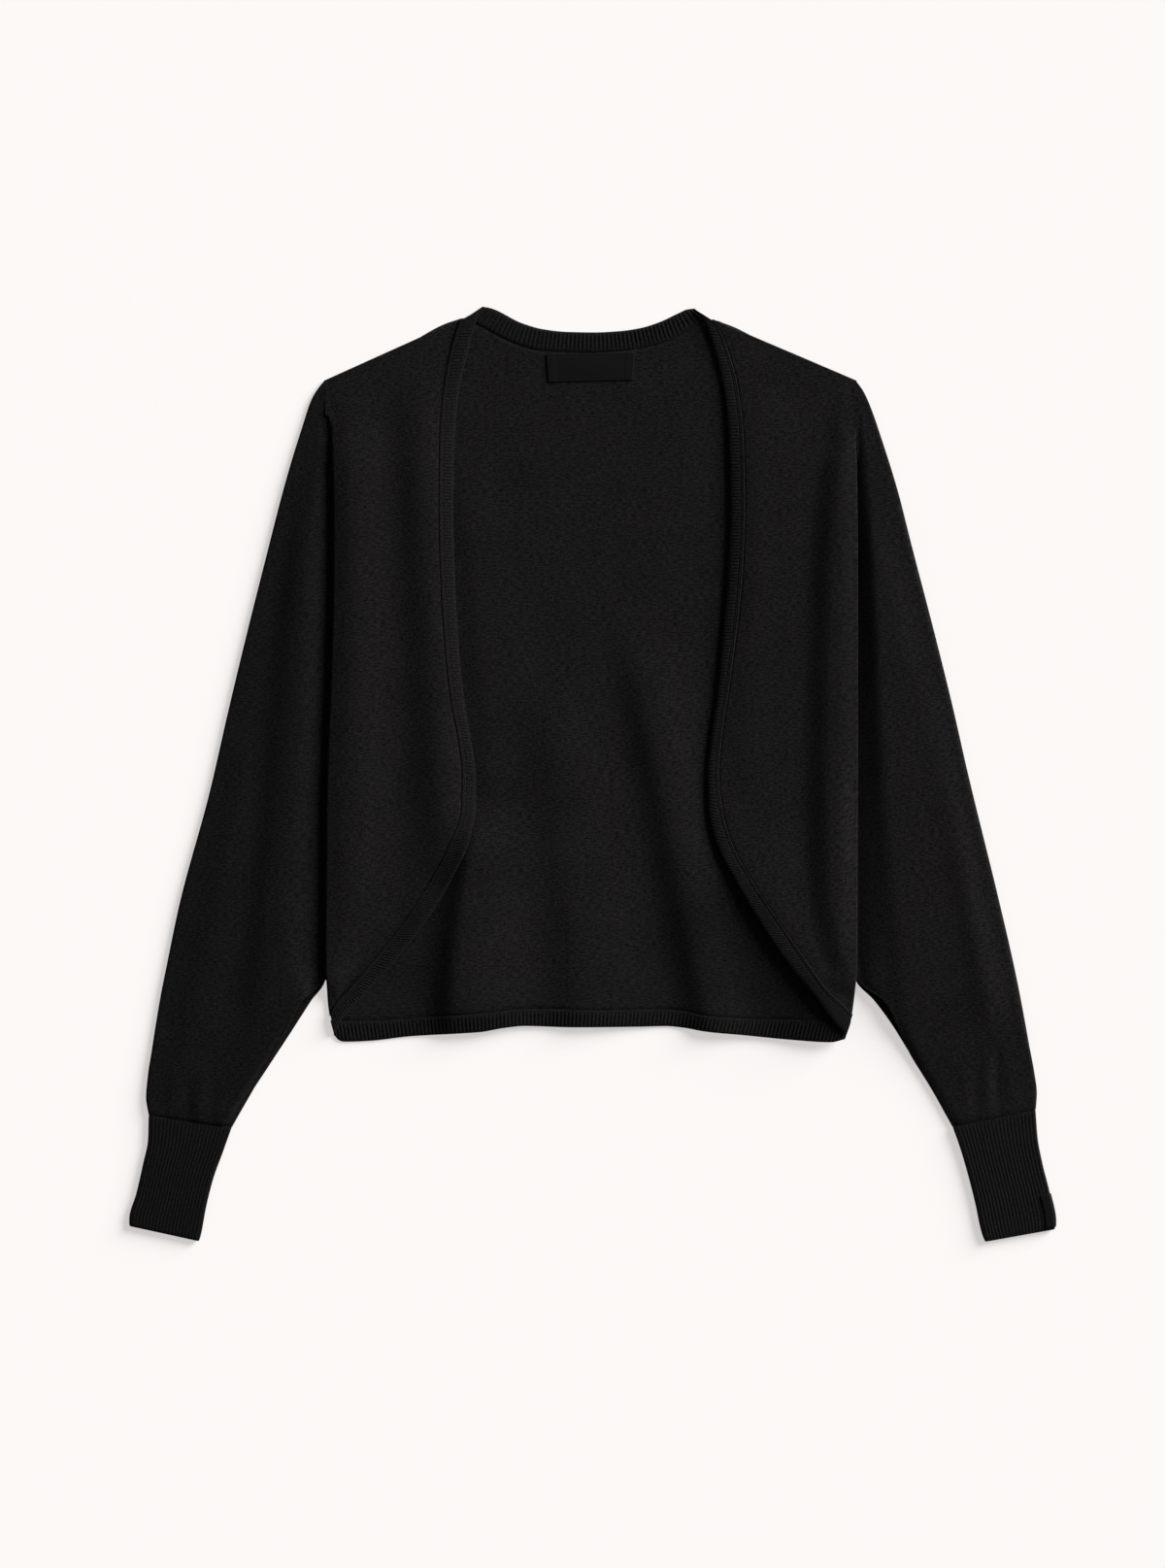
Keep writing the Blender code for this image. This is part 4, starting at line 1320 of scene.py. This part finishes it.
@dataclass
class HemBand(RibBand):
    """The ribbed band along the back's lower edge."""

    name: str = "hem_rib"
    node: str = "hem_band"
    pitch: float = 2.8
    cut: Cut = Cut(0.386, 0.014, 0.0052)

    def build(self, finish: bpy.types.Material) -> None:
        """Lays the band along the bottom of the back panel.

        Args:
            finish: the rib.
        """
        x, y = BackPanel(inset=0.0).plan()
        share = (x[0] - x[0][0]) / (x[0][-1] - x[0][0])
        edge_x = HEM_EDGE["x"][0] + share * (HEM_EDGE["x"][-1] - HEM_EDGE["x"][0])
        edge = np.stack([edge_x, smooth(HEM_EDGE["x"], HEM_EDGE["y"], edge_x)], -1)
        seam = np.stack([x[0], y[0] - 0.3], -1)
        shell = self.surface(edge, seam)
        hand_over(shell.build(self.name), self.node, finish)


@dataclass
class Front:
    """One front: the panel that folds under at its side, and its free-edge band."""

    hand: Hand
    panel_cut: Cut
    band_cut: Cut
    panel_step: float = 2.3
    under_columns: int = 7
    fold_columns: int = 9
    over_columns: int = 44
    closed_height: float = 2.5
    fold_arc: tuple[float, float] = (2.6, 1.6)
    least_under: float = 0.35
    most_under: float = 2.5
    unevenness: float = 0.16
    folds_start: float = 13.0
    lift_run: float = 60.0
    shoulder_rows: int = 5
    shoulder_radius: float = 1.5
    shoulder_reach: float = 0.55
    rib_pitch: float = 2.4
    rib_points: int = 5
    rib_height: float = 0.42
    plain_height: float = 0.12
    link_height: float = 0.45
    link_width: float = 2.9
    link_places: tuple[float, ...] = (0.0, 0.35, 0.7, 1.1, 1.5, 1.9, 2.3, 2.9, 3.4)
    strip_start: float = 4.0
    strip_shares: tuple[float, ...] = (0.0, 0.17, 0.36, 0.55, 0.74, 0.88, 0.96, 1.0)

    def rows(self, step: float) -> Table:
        """The front's sections, with what the side seam says at each.

        Args:
            step: the distance between sections along the free edge.

        Returns:
            The table, with points for side, seam and edge.
        """
        found = sections(FRONT[self.hand], "edge_x", "edge_y", step)
        for name in ("x", "lift", "tuck"):
            found[name] = side_at(self.hand, name, found["side_y"])
        found["side"] = np.stack([found["x"], found["side_y"]], -1)
        found["seam"] = pair(found, "seam")
        found["edge"] = pair(found, "edge")
        return found

    def panel(self) -> Shell:
        """The panel's middle surface.

        Each section starts under the front, turns up round its side fold and runs
        over to the band seam. The fold is an arc of length a that turns by an angle
        q: at distance l from its top it lies l sinc(l q / a) out and
        l (1 - cos(l q / a)) / (l q / a) down. At the shoulder q is nought, so the
        front runs flush into the sleeve, beside the sleeve it is half a turn, and
        below the armpit it closes down over the side of the back. Inwards the panel
        falls from the fold's height to the back by an even S, plus its own folds and
        its lift towards the band, and all of it rises with the back.

        Returns:
            The shell.
        """
        found = self.rows(self.panel_step)
        lift, tuck, side_y = (found[name][:, None] for name in ("lift", "tuck", "side_y"))
        width = np.linalg.norm(found["seam"] - found["side"], axis=-1)[:, None]
        upper = side_y > CREASE_RUNS_OUT
        turn = math.pi * np.where(upper, smoothstep((lift - 0.3) / 0.7), (100 + 80 * lift) / 180)
        arc = self.fold_arc[0] + self.fold_arc[1] * lift
        margin, drop, stand = PLEAT[self.hand]
        join = join_height(side_y)
        rolled = join + (stand - join) * lift**1.5
        closed = self.closed_height + (stand - self.closed_height) * lift
        top = np.where(upper, rolled, closed)
        bend = np.maximum(turn, 1e-4) / arc
        reach = np.where(turn < math.pi / 2, np.sin(turn) / bend, 1 / bend)
        centre = reach + SHEET / 2 * smoothstep(turn / math.pi)

        run = arc * np.linspace(1.0, 0.0, self.fold_columns)
        fold_s = centre - np.sin(bend * run) / bend
        fold_z = top - (1 - np.cos(bend * run)) / bend
        rolled_under = smoothstep((turn / math.pi - 0.8) / 0.2)
        under = self.least_under + (tuck + self.most_under) * rolled_under
        under = np.minimum(under, np.maximum(width - centre - 2.0, self.least_under))
        deep = under * np.linspace(1.0, 0.0, self.under_columns, endpoint=False)
        under_s = fold_s[:, :1] - deep * np.cos(turn)
        under_z = fold_z[:, :1] - deep * np.sin(turn)

        out = np.linspace(0.0, 1.0, self.over_columns + 1)[1:]
        over_s = centre + (width - centre) * out
        margin = np.minimum(3.0 + margin * tuck / 15.0, 0.25 * width)
        fall_over = np.clip(width - margin - 4.0, 1.5, drop)
        fall = smoothstep((over_s - centre - margin) / fall_over)
        plan = place(found["side"], found["seam"], over_s, 0 * over_s)
        x, y = plan[..., 0], plan[..., 1]
        near_edge = smoothstep((width - over_s) / 9.0)
        faint = (ripple(x, y, 11, self.unevenness) + self.unevenness) * np.minimum(fall, near_edge)
        begun = np.sin(math.pi / 2 * np.clip((over_s - centre) / self.folds_start, 0.0, 1.0))
        own = ridges(FRONT_FOLDS[self.hand], x, y) * begun
        lift_run = np.minimum(self.lift_run, 0.7 * width)
        lifted = found["off"][:, None] * smoothstep(1 - (width - over_s) / lift_run)
        over_z = top + (FRONT_HEIGHT - top) * fall + own + faint + lifted

        s = np.concatenate([under_s, fold_s, over_s], -1)
        middle = place(found["side"], found["seam"], s, np.concatenate([under_z, fold_z, over_z], -1))
        middle[..., 2] += back_rise(middle[..., 0], middle[..., 1])
        return Shell(self.over_the_shoulder(middle), SHEET)

    def over_the_shoulder(self, middle: Array) -> Array:
        """Rolls the panel's last rows down over the back's shoulder edge.

        A quarter turn of the radius given beyond the last row: the reach times
        r sin(q) out and r (1 - cos(q)) down, for q up to 95 degrees.

        Args:
            middle: the grid of the panel.

        Returns:
            The grid with the extra rows.
        """
        last = middle[-1]
        out = unit((middle[-1] - middle[-2]) * np.array([1.0, 1.0, 0.0]))
        along = unit(np.gradient(last, axis=0) * np.array([1.0, 1.0, 0.0]))
        out = unit(out - (out * along).sum(-1, keepdims=True) * along)
        angle = np.radians(np.linspace(0.0, 95.0, self.shoulder_rows + 1)[1:])[:, None, None]
        down = self.shoulder_radius * (1 - np.cos(angle)) * np.array([0.0, 0.0, -1.0])
        extra = last + self.shoulder_radius * np.sin(angle) * out * self.shoulder_reach + down
        return np.concatenate([middle, extra], axis=0)

    def band(self) -> Shell:
        """The band's middle surface, with its ribs and the linked seam.

        Across the band the upper face has a linking ridge of two lines beside the
        panel, then cross ribs, half the rib height times 1 + cos of the rib's turn
        along the band, which fade at the free edge, where the wall turns down. The
        band rises with the folds under it and stands off by the table's amount. Above
        the lower curve that is less by its curl times the square of s / width.

        Returns:
            The shell, whose pattern runs rib by rib.
        """
        found = self.rows(self.rib_pitch / self.rib_points)
        width = np.linalg.norm(found["edge"] - found["seam"], axis=-1)[:, None]
        first = 0.1
        linked = first + np.array(self.link_places) + 0 * width
        strip = self.strip_start + (width - self.strip_start) * np.array(self.strip_shares)
        s = np.concatenate([linked, strip], -1)
        beyond = s - first
        link = self.link_height * (bell(beyond, 0.75, 0.4) + bell(beyond, 2.0, 0.4))
        ribbed = smoothstep((beyond - self.link_width) / 0.7) * smoothstep((width - s) / 2.0)
        rib = crests(found["run"][:, None] / self.rib_pitch)
        raised = link + (self.plain_height + self.rib_height * rib) * ribbed
        plan = place(found["seam"], found["edge"], s, 0 * s)
        x, y = plan[..., 0], plan[..., 1]
        rise = back_rise(x, y) + ridges(FRONT_FOLDS[self.hand], x, y)
        curl = BAND_CURL[self.hand] * smoothstep((y + 96.0) / 70.0)
        off = found["off"][:, None] * (1 - curl * (s / width) ** 2)
        carried = found["carried"][:, None] + RIB_SHEET / 2 + 0.1
        down = 0.2 * smoothstep((s - width + 1.1) / 1.1)
        middle = np.concatenate([plan[..., :2], (carried + rise + off - down)[..., None]], -1)
        pattern = np.stack([np.broadcast_to(found["run"][:, None], s.shape), s], -1)
        return Shell(middle, RIB_SHEET, pattern, raised, rounding=0.2)

    def build(self, knit: bpy.types.Material, rib: bpy.types.Material) -> None:
        """Builds and hands over the panel and its band.

        Args:
            knit: the panel's finish.
            rib: the band's finish.
        """
        side = self.hand.value
        made = self.panel().build(f"front_knit_{side}")
        hand_over(made, f"front_{side}", knit)
        made = self.band().build(f"front_rib_{side}")
        hand_over(made, f"front_band_{side}", rib)


@dataclass
class Sleeve:
    """One sleeve, folded flat along its outer edge and tucked under the front."""

    hand: Hand
    cut: Cut
    step: float = 2.7
    under_columns: int = 22
    fold_columns: int = 9
    over_columns: int = 46
    lip_columns: int = 4
    lip: float = 2.3
    lip_turn: float = 80.0
    cuff_radius: float = 1.7
    tip_radius: float = 0.75
    unevenness: float = 0.2
    gap: float = 0.25

    def surface(self) -> Shell:
        """The sleeve's middle surface.

        A section runs along the under layer to the outer fold, half round it, over
        the upper layer and down into the crease, where it goes on under the front.
        The upper layer stands at the fold's height, plus its lean times the distance
        run and its folds. It dips to the crease over the table's width, as a quarter of
        a sine to its side's power does. Below the armpit it ends in a lip that closes
        round the under layer: an arc of fixed length whose turn grows towards the cuff.

        Returns:
            The shell.
        """
        found = sections(SLEEVE[self.hand], "outer_x", "outer_y", self.step)
        outer, inner = pair(found, "outer"), pair(found, "inner")
        notch = SLEEVE[self.hand]["inner_y"][SLEEVE[self.hand]["strip"] > 0].max() + 0.01
        above = found["inner_y"] > notch
        toward = 1.0 if self.hand is Hand.RIGHT else -1.0
        beside = side_at(self.hand, "x", found["inner_y"]) + toward * self.gap
        inner[:, 0] = np.where(above, beside, inner[:, 0])
        width = np.linalg.norm(inner - outer, axis=-1)[:, None]
        inner_y = found["inner_y"][:, None]
        above = above[:, None]
        closed, strip = found["closed"][:, None], found["strip"][:, None]
        tuck = np.where(above, side_at(self.hand, "tuck", inner_y), 0.0)
        lift = side_at(self.hand, "lift", inner_y)
        dip = np.minimum(side_at(self.hand, "dip", inner_y), 0.6 * width)
        to_cuff = (found["run"][-1] - found["run"])[:, None]
        fold_radius, lean = SLEEVE_STAND[self.hand]
        full = self.cuff_radius + (fold_radius - self.cuff_radius) * smoothstep(to_cuff / 90.0)
        radius = self.tip_radius + (full - self.tip_radius) * smoothstep(width / 40.0)

        centre = SHEET / 2 + radius
        under_end = width - closed * (SHEET + self.gap)
        under_s = centre + (under_end - centre) * np.linspace(1.0, 0.0, self.under_columns, endpoint=False)
        angle = np.linspace(-math.pi / 2, -3 * math.pi / 2, self.fold_columns)
        fold_s = centre + radius * np.cos(angle)
        fold_z = BACK_HEIGHT + radius * (1 + np.sin(angle))

        turn = closed * math.radians(self.lip_turn)
        reach = width + tuck - strip - np.sin(turn) * SHEET / 2
        lip_start = reach - np.minimum(self.lip * np.sinc(turn / math.pi), 0.4 * reach)
        over_s = centre + (lip_start - centre) * np.linspace(0.0, 1.0, self.over_columns + 1)[1:]
        crest = BACK_HEIGHT + 2 * radius
        join = join_height(inner_y)
        creased = np.where(inner_y > CREASE_RUNS_OUT, smoothstep(lift / 0.6), 1.0)
        floor = np.where(above, join + (TUCKED_HEIGHT - join) * creased, FRONT_HEIGHT)
        out_of_crease = np.sin(math.pi / 2 * np.clip((width - over_s) / dip, 0.0, 1.0))
        rising = out_of_crease ** CREASE_POWER[self.hand]
        plan = place(outer, inner, over_s, 0 * over_s)
        x, y = plan[..., 0], plan[..., 1]
        leaning = lean * over_s * smoothstep((width - 15.0) / 40.0)
        own = ridges(SLEEVE_FOLDS[self.hand], x, y) + ripple(x, y, 23, self.unevenness) + leaning
        free = smoothstep((over_s - centre) / 25.0) * rising
        own = own * (0.25 + 0.75 * smoothstep(to_cuff / 9.0))
        over_z = crest + (floor - crest) * (1.0 - rising) + own * free

        down = np.linspace(0.0, 1.0, self.lip_columns + 1)[1:]
        step = down * (reach - lip_start) / np.sinc(turn / math.pi)
        bend = np.maximum(turn, 1e-5) / self.lip
        lip_s = lip_start + np.sin(bend * step) / bend
        lip_z = over_z[:, -1:] - (1 - np.cos(bend * step)) / bend

        s = np.concatenate([under_s, fold_s, over_s, lip_s], -1)
        under_z = BACK_HEIGHT + 0 * under_s
        z = np.concatenate([under_z, fold_z + 0 * fold_s, over_z, lip_z], -1)
        return Shell(place(outer, inner, s, z), SHEET)

    def build(self, finish: bpy.types.Material) -> None:
        """Builds and hands over the sleeve.

        Args:
            finish: the jersey.
        """
        side = self.hand.value
        made = self.surface().build(f"sleeve_knit_{side}")
        hand_over(made, f"sleeve_{side}", finish)


@dataclass
class Cuff:
    """One deep cuff: a rib tube pressed flat."""

    hand: Hand
    cut: Cut
    step: float = 2.2
    pitch: float = 2.6
    rib_points: int = 7
    low: float = 1.05
    radius: float = 1.2
    crest: float = 0.36
    linking: float = 0.3

    def ends(self, step: float) -> tuple[Array, Array, Array]:
        """Outer and inner edge points of the cuff's sections, and the distance run."""
        found = sections(CUFF[self.hand], "outer_x", "outer_y", step)
        return pair(found, "outer"), pair(found, "inner"), found["run"]

    def path(self, width: Array, share: Array) -> tuple[Array, Array]:
        """The flattened ring at shares of the way round it.

        The way runs along the under layer towards the outer edge, half round that
        fold, over the upper layer and half round the inner fold. Straight stretches
        are w - 2c long and each half turn is pi r.

        Args:
            width: each section's width, in a column.
            share: from 0 to 1 round the ring, in a row.

        Returns:
            Distances along the section, and heights.
        """
        centre = RIB_SHEET / 2 + self.crest + self.radius
        flat = width - 2 * centre
        half = math.pi * self.radius
        at = share * (2 * flat + 2 * half)
        first = np.clip(at, 0.0, flat)
        near = np.clip(at - flat, 0.0, half) / self.radius
        second = np.clip(at - flat - half, 0.0, flat)
        far = np.clip(at - 2 * flat - half, 0.0, half) / self.radius
        s = centre + flat - first - self.radius * np.sin(near) + second + self.radius * np.sin(far)
        z = self.low + self.radius * (1 - np.cos(near)) - self.radius * (1 - np.cos(far))
        return s, z

    def surface(self) -> Shell:
        """The cuff's middle surface, ribbed lengthwise all round.

        The outer face is raised by half the crest times 1 + cos of the rib's turn,
        which fades at the sleeve seam, where a linking ridge runs round, and at the
        opening.

        Returns:
            The shell, whose pattern runs rib by rib.
        """
        outer, inner, run = self.ends(self.step)
        width = np.linalg.norm(inner - outer, axis=-1)[:, None]
        ribs = round(2 * width.mean() / self.pitch)
        share = np.arange(ribs * self.rib_points)[None, :] / (ribs * self.rib_points)
        s, z = self.path(width, share)
        start, end = run[:, None], run[-1] - run[:, None]
        fade = smoothstep(start / 2.6) * (0.35 + 0.65 * smoothstep(end / 1.4))
        raised = self.crest * crests(ribs * share) * fade + self.linking * bell(start, 0.9, 0.8)
        pattern = np.stack([share * ribs * self.pitch + 0 * s, start + 0 * s], -1)
        return Shell(place(outer, inner, s, z), RIB_SHEET, pattern, raised, ring=True)

    def build(self, finish: bpy.types.Material) -> None:
        """Builds and hands over the cuff.

        Args:
            finish: the rib.
        """
        side = self.hand.value
        made = self.surface().build(f"cuff_rib_{side}")
        hand_over(made, f"cuff_{side}", finish)


@dataclass
class NeckLabel:
    """The bare satin label under the neck band, its two ends folded under."""

    columns: int = 110
    rows: int = 44
    thickness: float = 0.5
    rest: float = 1.35
    length: float = 65.0
    height: float = 21.0
    swell: float = 0.45
    folded: float = 0.14
    stitch: float = 2.2
    stitch_depth: float = 0.25
    cut: Cut = Cut(0.066, 0.022, 0.0014)

    def build(self, finish: bpy.types.Material) -> None:
        """Builds the label.

        Points lie between the four corners. The height is the back's, plus a low
        swell, its height times sin(pi u) sin(pi v), plus the folded ends, which are
        thicker over the outer 6 mm, and dips at the stitches along the upper edge.

        Args:
            finish: the satin.
        """
        u = np.linspace(0.0, 1.0, self.columns)[None, :]
        v = np.linspace(0.0, 1.0, self.rows)[:, None]
        corners = np.stack([LABEL["x"], LABEL["y"]], -1)
        upper = corners[0] + u[..., None] * (corners[1] - corners[0])
        lower = corners[2] + u[..., None] * (corners[3] - corners[2])
        plan = upper + v[..., None] * (lower - upper)
        x, y = plan[..., 0], plan[..., 1]
        along = u * self.length
        end = np.minimum(along, self.length - along)
        folded = self.folded * smoothstep((6.6 - end) / 1.6)
        sewn = self.stitch_depth * bell(v * self.height, 1.6, 0.5) * crests(along / self.stitch)
        swell = self.swell * np.sin(math.pi * u) * np.sin(math.pi * v)
        z = self.rest + self.thickness / 2 + back_rise(x, y) + folded + swell - sewn
        pattern = np.stack([x, y], -1)
        shell = Shell(np.stack([x, y, z], -1), self.thickness, pattern, rounding=0.45)
        made = shell.build("neck_label_satin")
        hand_over(made, "neck_label", finish)


@dataclass
class CuffTab:
    """The bare satin tab that wraps the outer edge of the right cuff."""

    width: float = 7.5
    top_y: float = -310.5
    bottom_y: float = -336.0
    thickness: float = 0.5
    slack: float = 0.1
    wraps: tuple[float, float] = (90.0, 215.0)
    cut: Cut = Cut(0.014, 0.025, 0.0003)

    def build(self, finish: bpy.types.Material) -> None:
        """Builds the tab from the cuff's own points.

        On each of the cuff's sections it runs flat to the fold and then round it on
        the cuff's centre line, with the cuff's radius plus half its wall, its rib
        and the tab's own half thickness.

        Args:
            finish: the satin.
        """
        cuff = Cuff(Hand.RIGHT, self.cut)
        outer, inner, run = cuff.ends(0.8)
        chosen = (outer[:, 1] < self.top_y) & (outer[:, 1] > self.bottom_y)
        outer, inner, run = outer[chosen], inner[chosen], run[chosen]
        centre = RIB_SHEET / 2 + cuff.crest + cuff.radius
        radius = cuff.radius + RIB_SHEET / 2 + cuff.crest + self.slack + self.thickness / 2
        angle = np.radians(np.linspace(*self.wraps, 26))
        flat = np.linspace(self.width, centre, 12)[:-1]
        s = np.concatenate([flat, centre + radius * np.cos(angle)])[None, :] + 0 * run[:, None]
        middle_z = cuff.low + cuff.radius
        z = np.concatenate([middle_z + radius + 0 * flat, middle_z + radius * np.sin(angle)])[None, :]
        z = z + 0 * run[:, None]
        way = run_of(s[0], z[0])[None, :]
        pattern = np.stack([run[:, None] + 0 * s, way + 0 * s], -1)
        shell = Shell(place(outer, inner, s, z), self.thickness, pattern, rounding=0.45)
        made = shell.build("cuff_tab_satin")
        hand_over(made, "cuff_tab", finish)


@dataclass
class Studio:
    """Pale floor, soft light from the upper right and the camera straight above."""

    aim: tuple[float, float] = (-0.0079, -0.0074)
    distance: float = 3.2
    field: float = 1.1628
    sensor: float = 36.0
    key_azimuth: float = 35.0
    key_elevation: float = 21.0
    key_strength: float = 7.6
    key_softness: float = 32.0
    fill_strength: float = 0.16
    backdrop: tuple[float, float, float, float] = (0.974, 0.943, 0.93, 1.0)
    floor_half: float = 14.0
    floor_drop: float = 0.0002

    def floor(self) -> None:
        """A wide plane just under the garment."""
        mesh = bpy.data.meshes.new("floor")
        signs = ((-1, -1), (1, -1), (1, 1), (-1, 1))
        corners = [(x * self.floor_half, y * self.floor_half, -self.floor_drop) for x, y in signs]
        mesh.from_pydata(corners, [], [(0, 1, 2, 3)])
        plane = bpy.data.objects.new("floor", mesh)
        bpy.context.scene.collection.objects.link(plane)
        plane.data.materials.append(FloorFinish().material())

    def lights(self) -> None:
        """One broad sun from the upper right, and an even surround, seen as pale as the floor."""
        sun = bpy.data.lights.new("key", "SUN")
        sun.energy = self.key_strength
        sun.angle = math.radians(self.key_softness)
        sun.color = (1.0, 0.992, 0.985)
        lamp = bpy.data.objects.new("key", sun)
        turn, rise = math.radians(self.key_azimuth), math.radians(self.key_elevation)
        toward = Vector((math.cos(turn) * math.cos(rise), math.sin(turn) * math.cos(rise), math.sin(rise)))
        lamp.rotation_euler = toward.to_track_quat("Z", "Y").to_euler()
        lamp.location = toward * 3.0
        bpy.context.scene.collection.objects.link(lamp)
        world = bpy.data.worlds.new("surround")
        world.use_nodes = True
        graph = Graph(world.node_tree)
        surround = world.node_tree.nodes["Background"]
        surround.inputs["Color"].default_value = (1.0, 0.995, 0.99, 1.0)
        surround.inputs["Strength"].default_value = self.fill_strength
        seen = graph.node("ShaderNodeBackground")
        seen.inputs["Color"].default_value = self.backdrop
        mixed = graph.node("ShaderNodeMixShader")
        graph.feed(mixed.inputs[0], graph.node("ShaderNodeLightPath").outputs["Is Camera Ray"])
        graph.feed(mixed.inputs[1], surround.outputs["Background"])
        graph.feed(mixed.inputs[2], seen.outputs["Background"])
        graph.feed(world.node_tree.nodes["World Output"].inputs["Surface"], mixed.outputs[0])
        bpy.context.scene.world = world

    def camera(self) -> None:
        """Looks straight down, with the photo's field on the long side of the frame."""
        lens = bpy.data.cameras.new("above")
        lens.sensor_width = self.sensor
        lens.lens = self.sensor * self.distance / self.field
        lens.clip_start = 0.05
        lens.clip_end = 30.0
        eye = bpy.data.objects.new("above", lens)
        eye.location = (*self.aim, self.distance)
        bpy.context.scene.collection.objects.link(eye)
        bpy.context.scene.camera = eye

    def build(self) -> None:
        """Sets up floor, lights and camera, with colours shown as they are."""
        bpy.context.scene.view_settings.view_transform = "Standard"
        self.floor()
        self.lights()
        self.camera()


JERSEY = KnitFinish("jersey_black", Face.KNIT, (0.0002, 0.0002, 0.0002), (0.0104, 0.0094, 0.0099))
# A darker copy of the jersey, worn by the left sleeve only: painted shade for the dimmer light that sleeve
# gets
JERSEY_PAINTED_SHADE = KnitFinish("jersey_black_painted_shade", Face.KNIT, (0.0002, 0.0002, 0.0002), (0.0077, 0.0071, 0.0073))
JERSEY_INSIDE = KnitFinish(
    "jersey_black_inside", Face.PURL, (0.0002, 0.0002, 0.0002), (0.0109, 0.0099, 0.0104), streak_length=3.8
)
RIB = KnitFinish(
    "rib_black",
    Face.KNIT,
    (0.0018, 0.0017, 0.0018),
    (0.0080, 0.0074, 0.0077),
    wale=1.3,
    course=1.0,
    streak_length=2.2,
    streak_width=0.8,
)
RIB_FINE = replace(RIB, title="rib_black_fine", dark=(0.0014, 0.0013, 0.0014), light=(0.0104, 0.0095, 0.0100))
# A darker copy of the rib, worn by the left cuff only: painted shade, like the left sleeve's jersey
RIB_PAINTED_SHADE = replace(RIB, title="rib_black_painted_shade", dark=(0.0013, 0.0012, 0.0013), light=(0.0058, 0.0055, 0.0056))


def main() -> None:
    """Builds every piece in the order in which it is laid down."""
    logging.basicConfig(level=logging.INFO, format="%(name)s %(message)s")
    groups = {"knit": knit_group(), "purl": purl_group(), "heather": heather_group()}
    jersey, inside, rib = (finish.material(groups) for finish in (JERSEY, JERSEY_INSIDE, RIB))
    # The left sleeve and the left cuff take the darker copies, which are painted shade
    sleeve_knits = {Hand.LEFT: JERSEY_PAINTED_SHADE.material(groups), Hand.RIGHT: jersey}
    cuff_ribs = {Hand.LEFT: RIB_PAINTED_SHADE.material(groups), Hand.RIGHT: rib}
    fine_rib = RIB_FINE.material(groups)
    BackPanel().build(inside)
    NeckBand().build(rib)
    HemBand().build(rib)
    NeckLabel().build(SatinFinish("label_satin").material())
    sleeve_cut = Cut(0.235, 0.560, 0.085, Held.FOLDED)
    cuff_cut = Cut(0.118, 0.088, 0.0098, Held.FOLDED)
    for hand in Hand:
        Sleeve(hand, sleeve_cut).build(sleeve_knits[hand])
        Cuff(hand, cuff_cut).build(cuff_ribs[hand])
        Front(hand, Cut(0.125, 0.520, 0.046), Cut(0.014, 0.66, 0.0062)).build(jersey, fine_rib)
    CuffTab().build(SatinFinish("tab_satin").material())
    Studio().build()


if __name__ == "__main__":
    main()
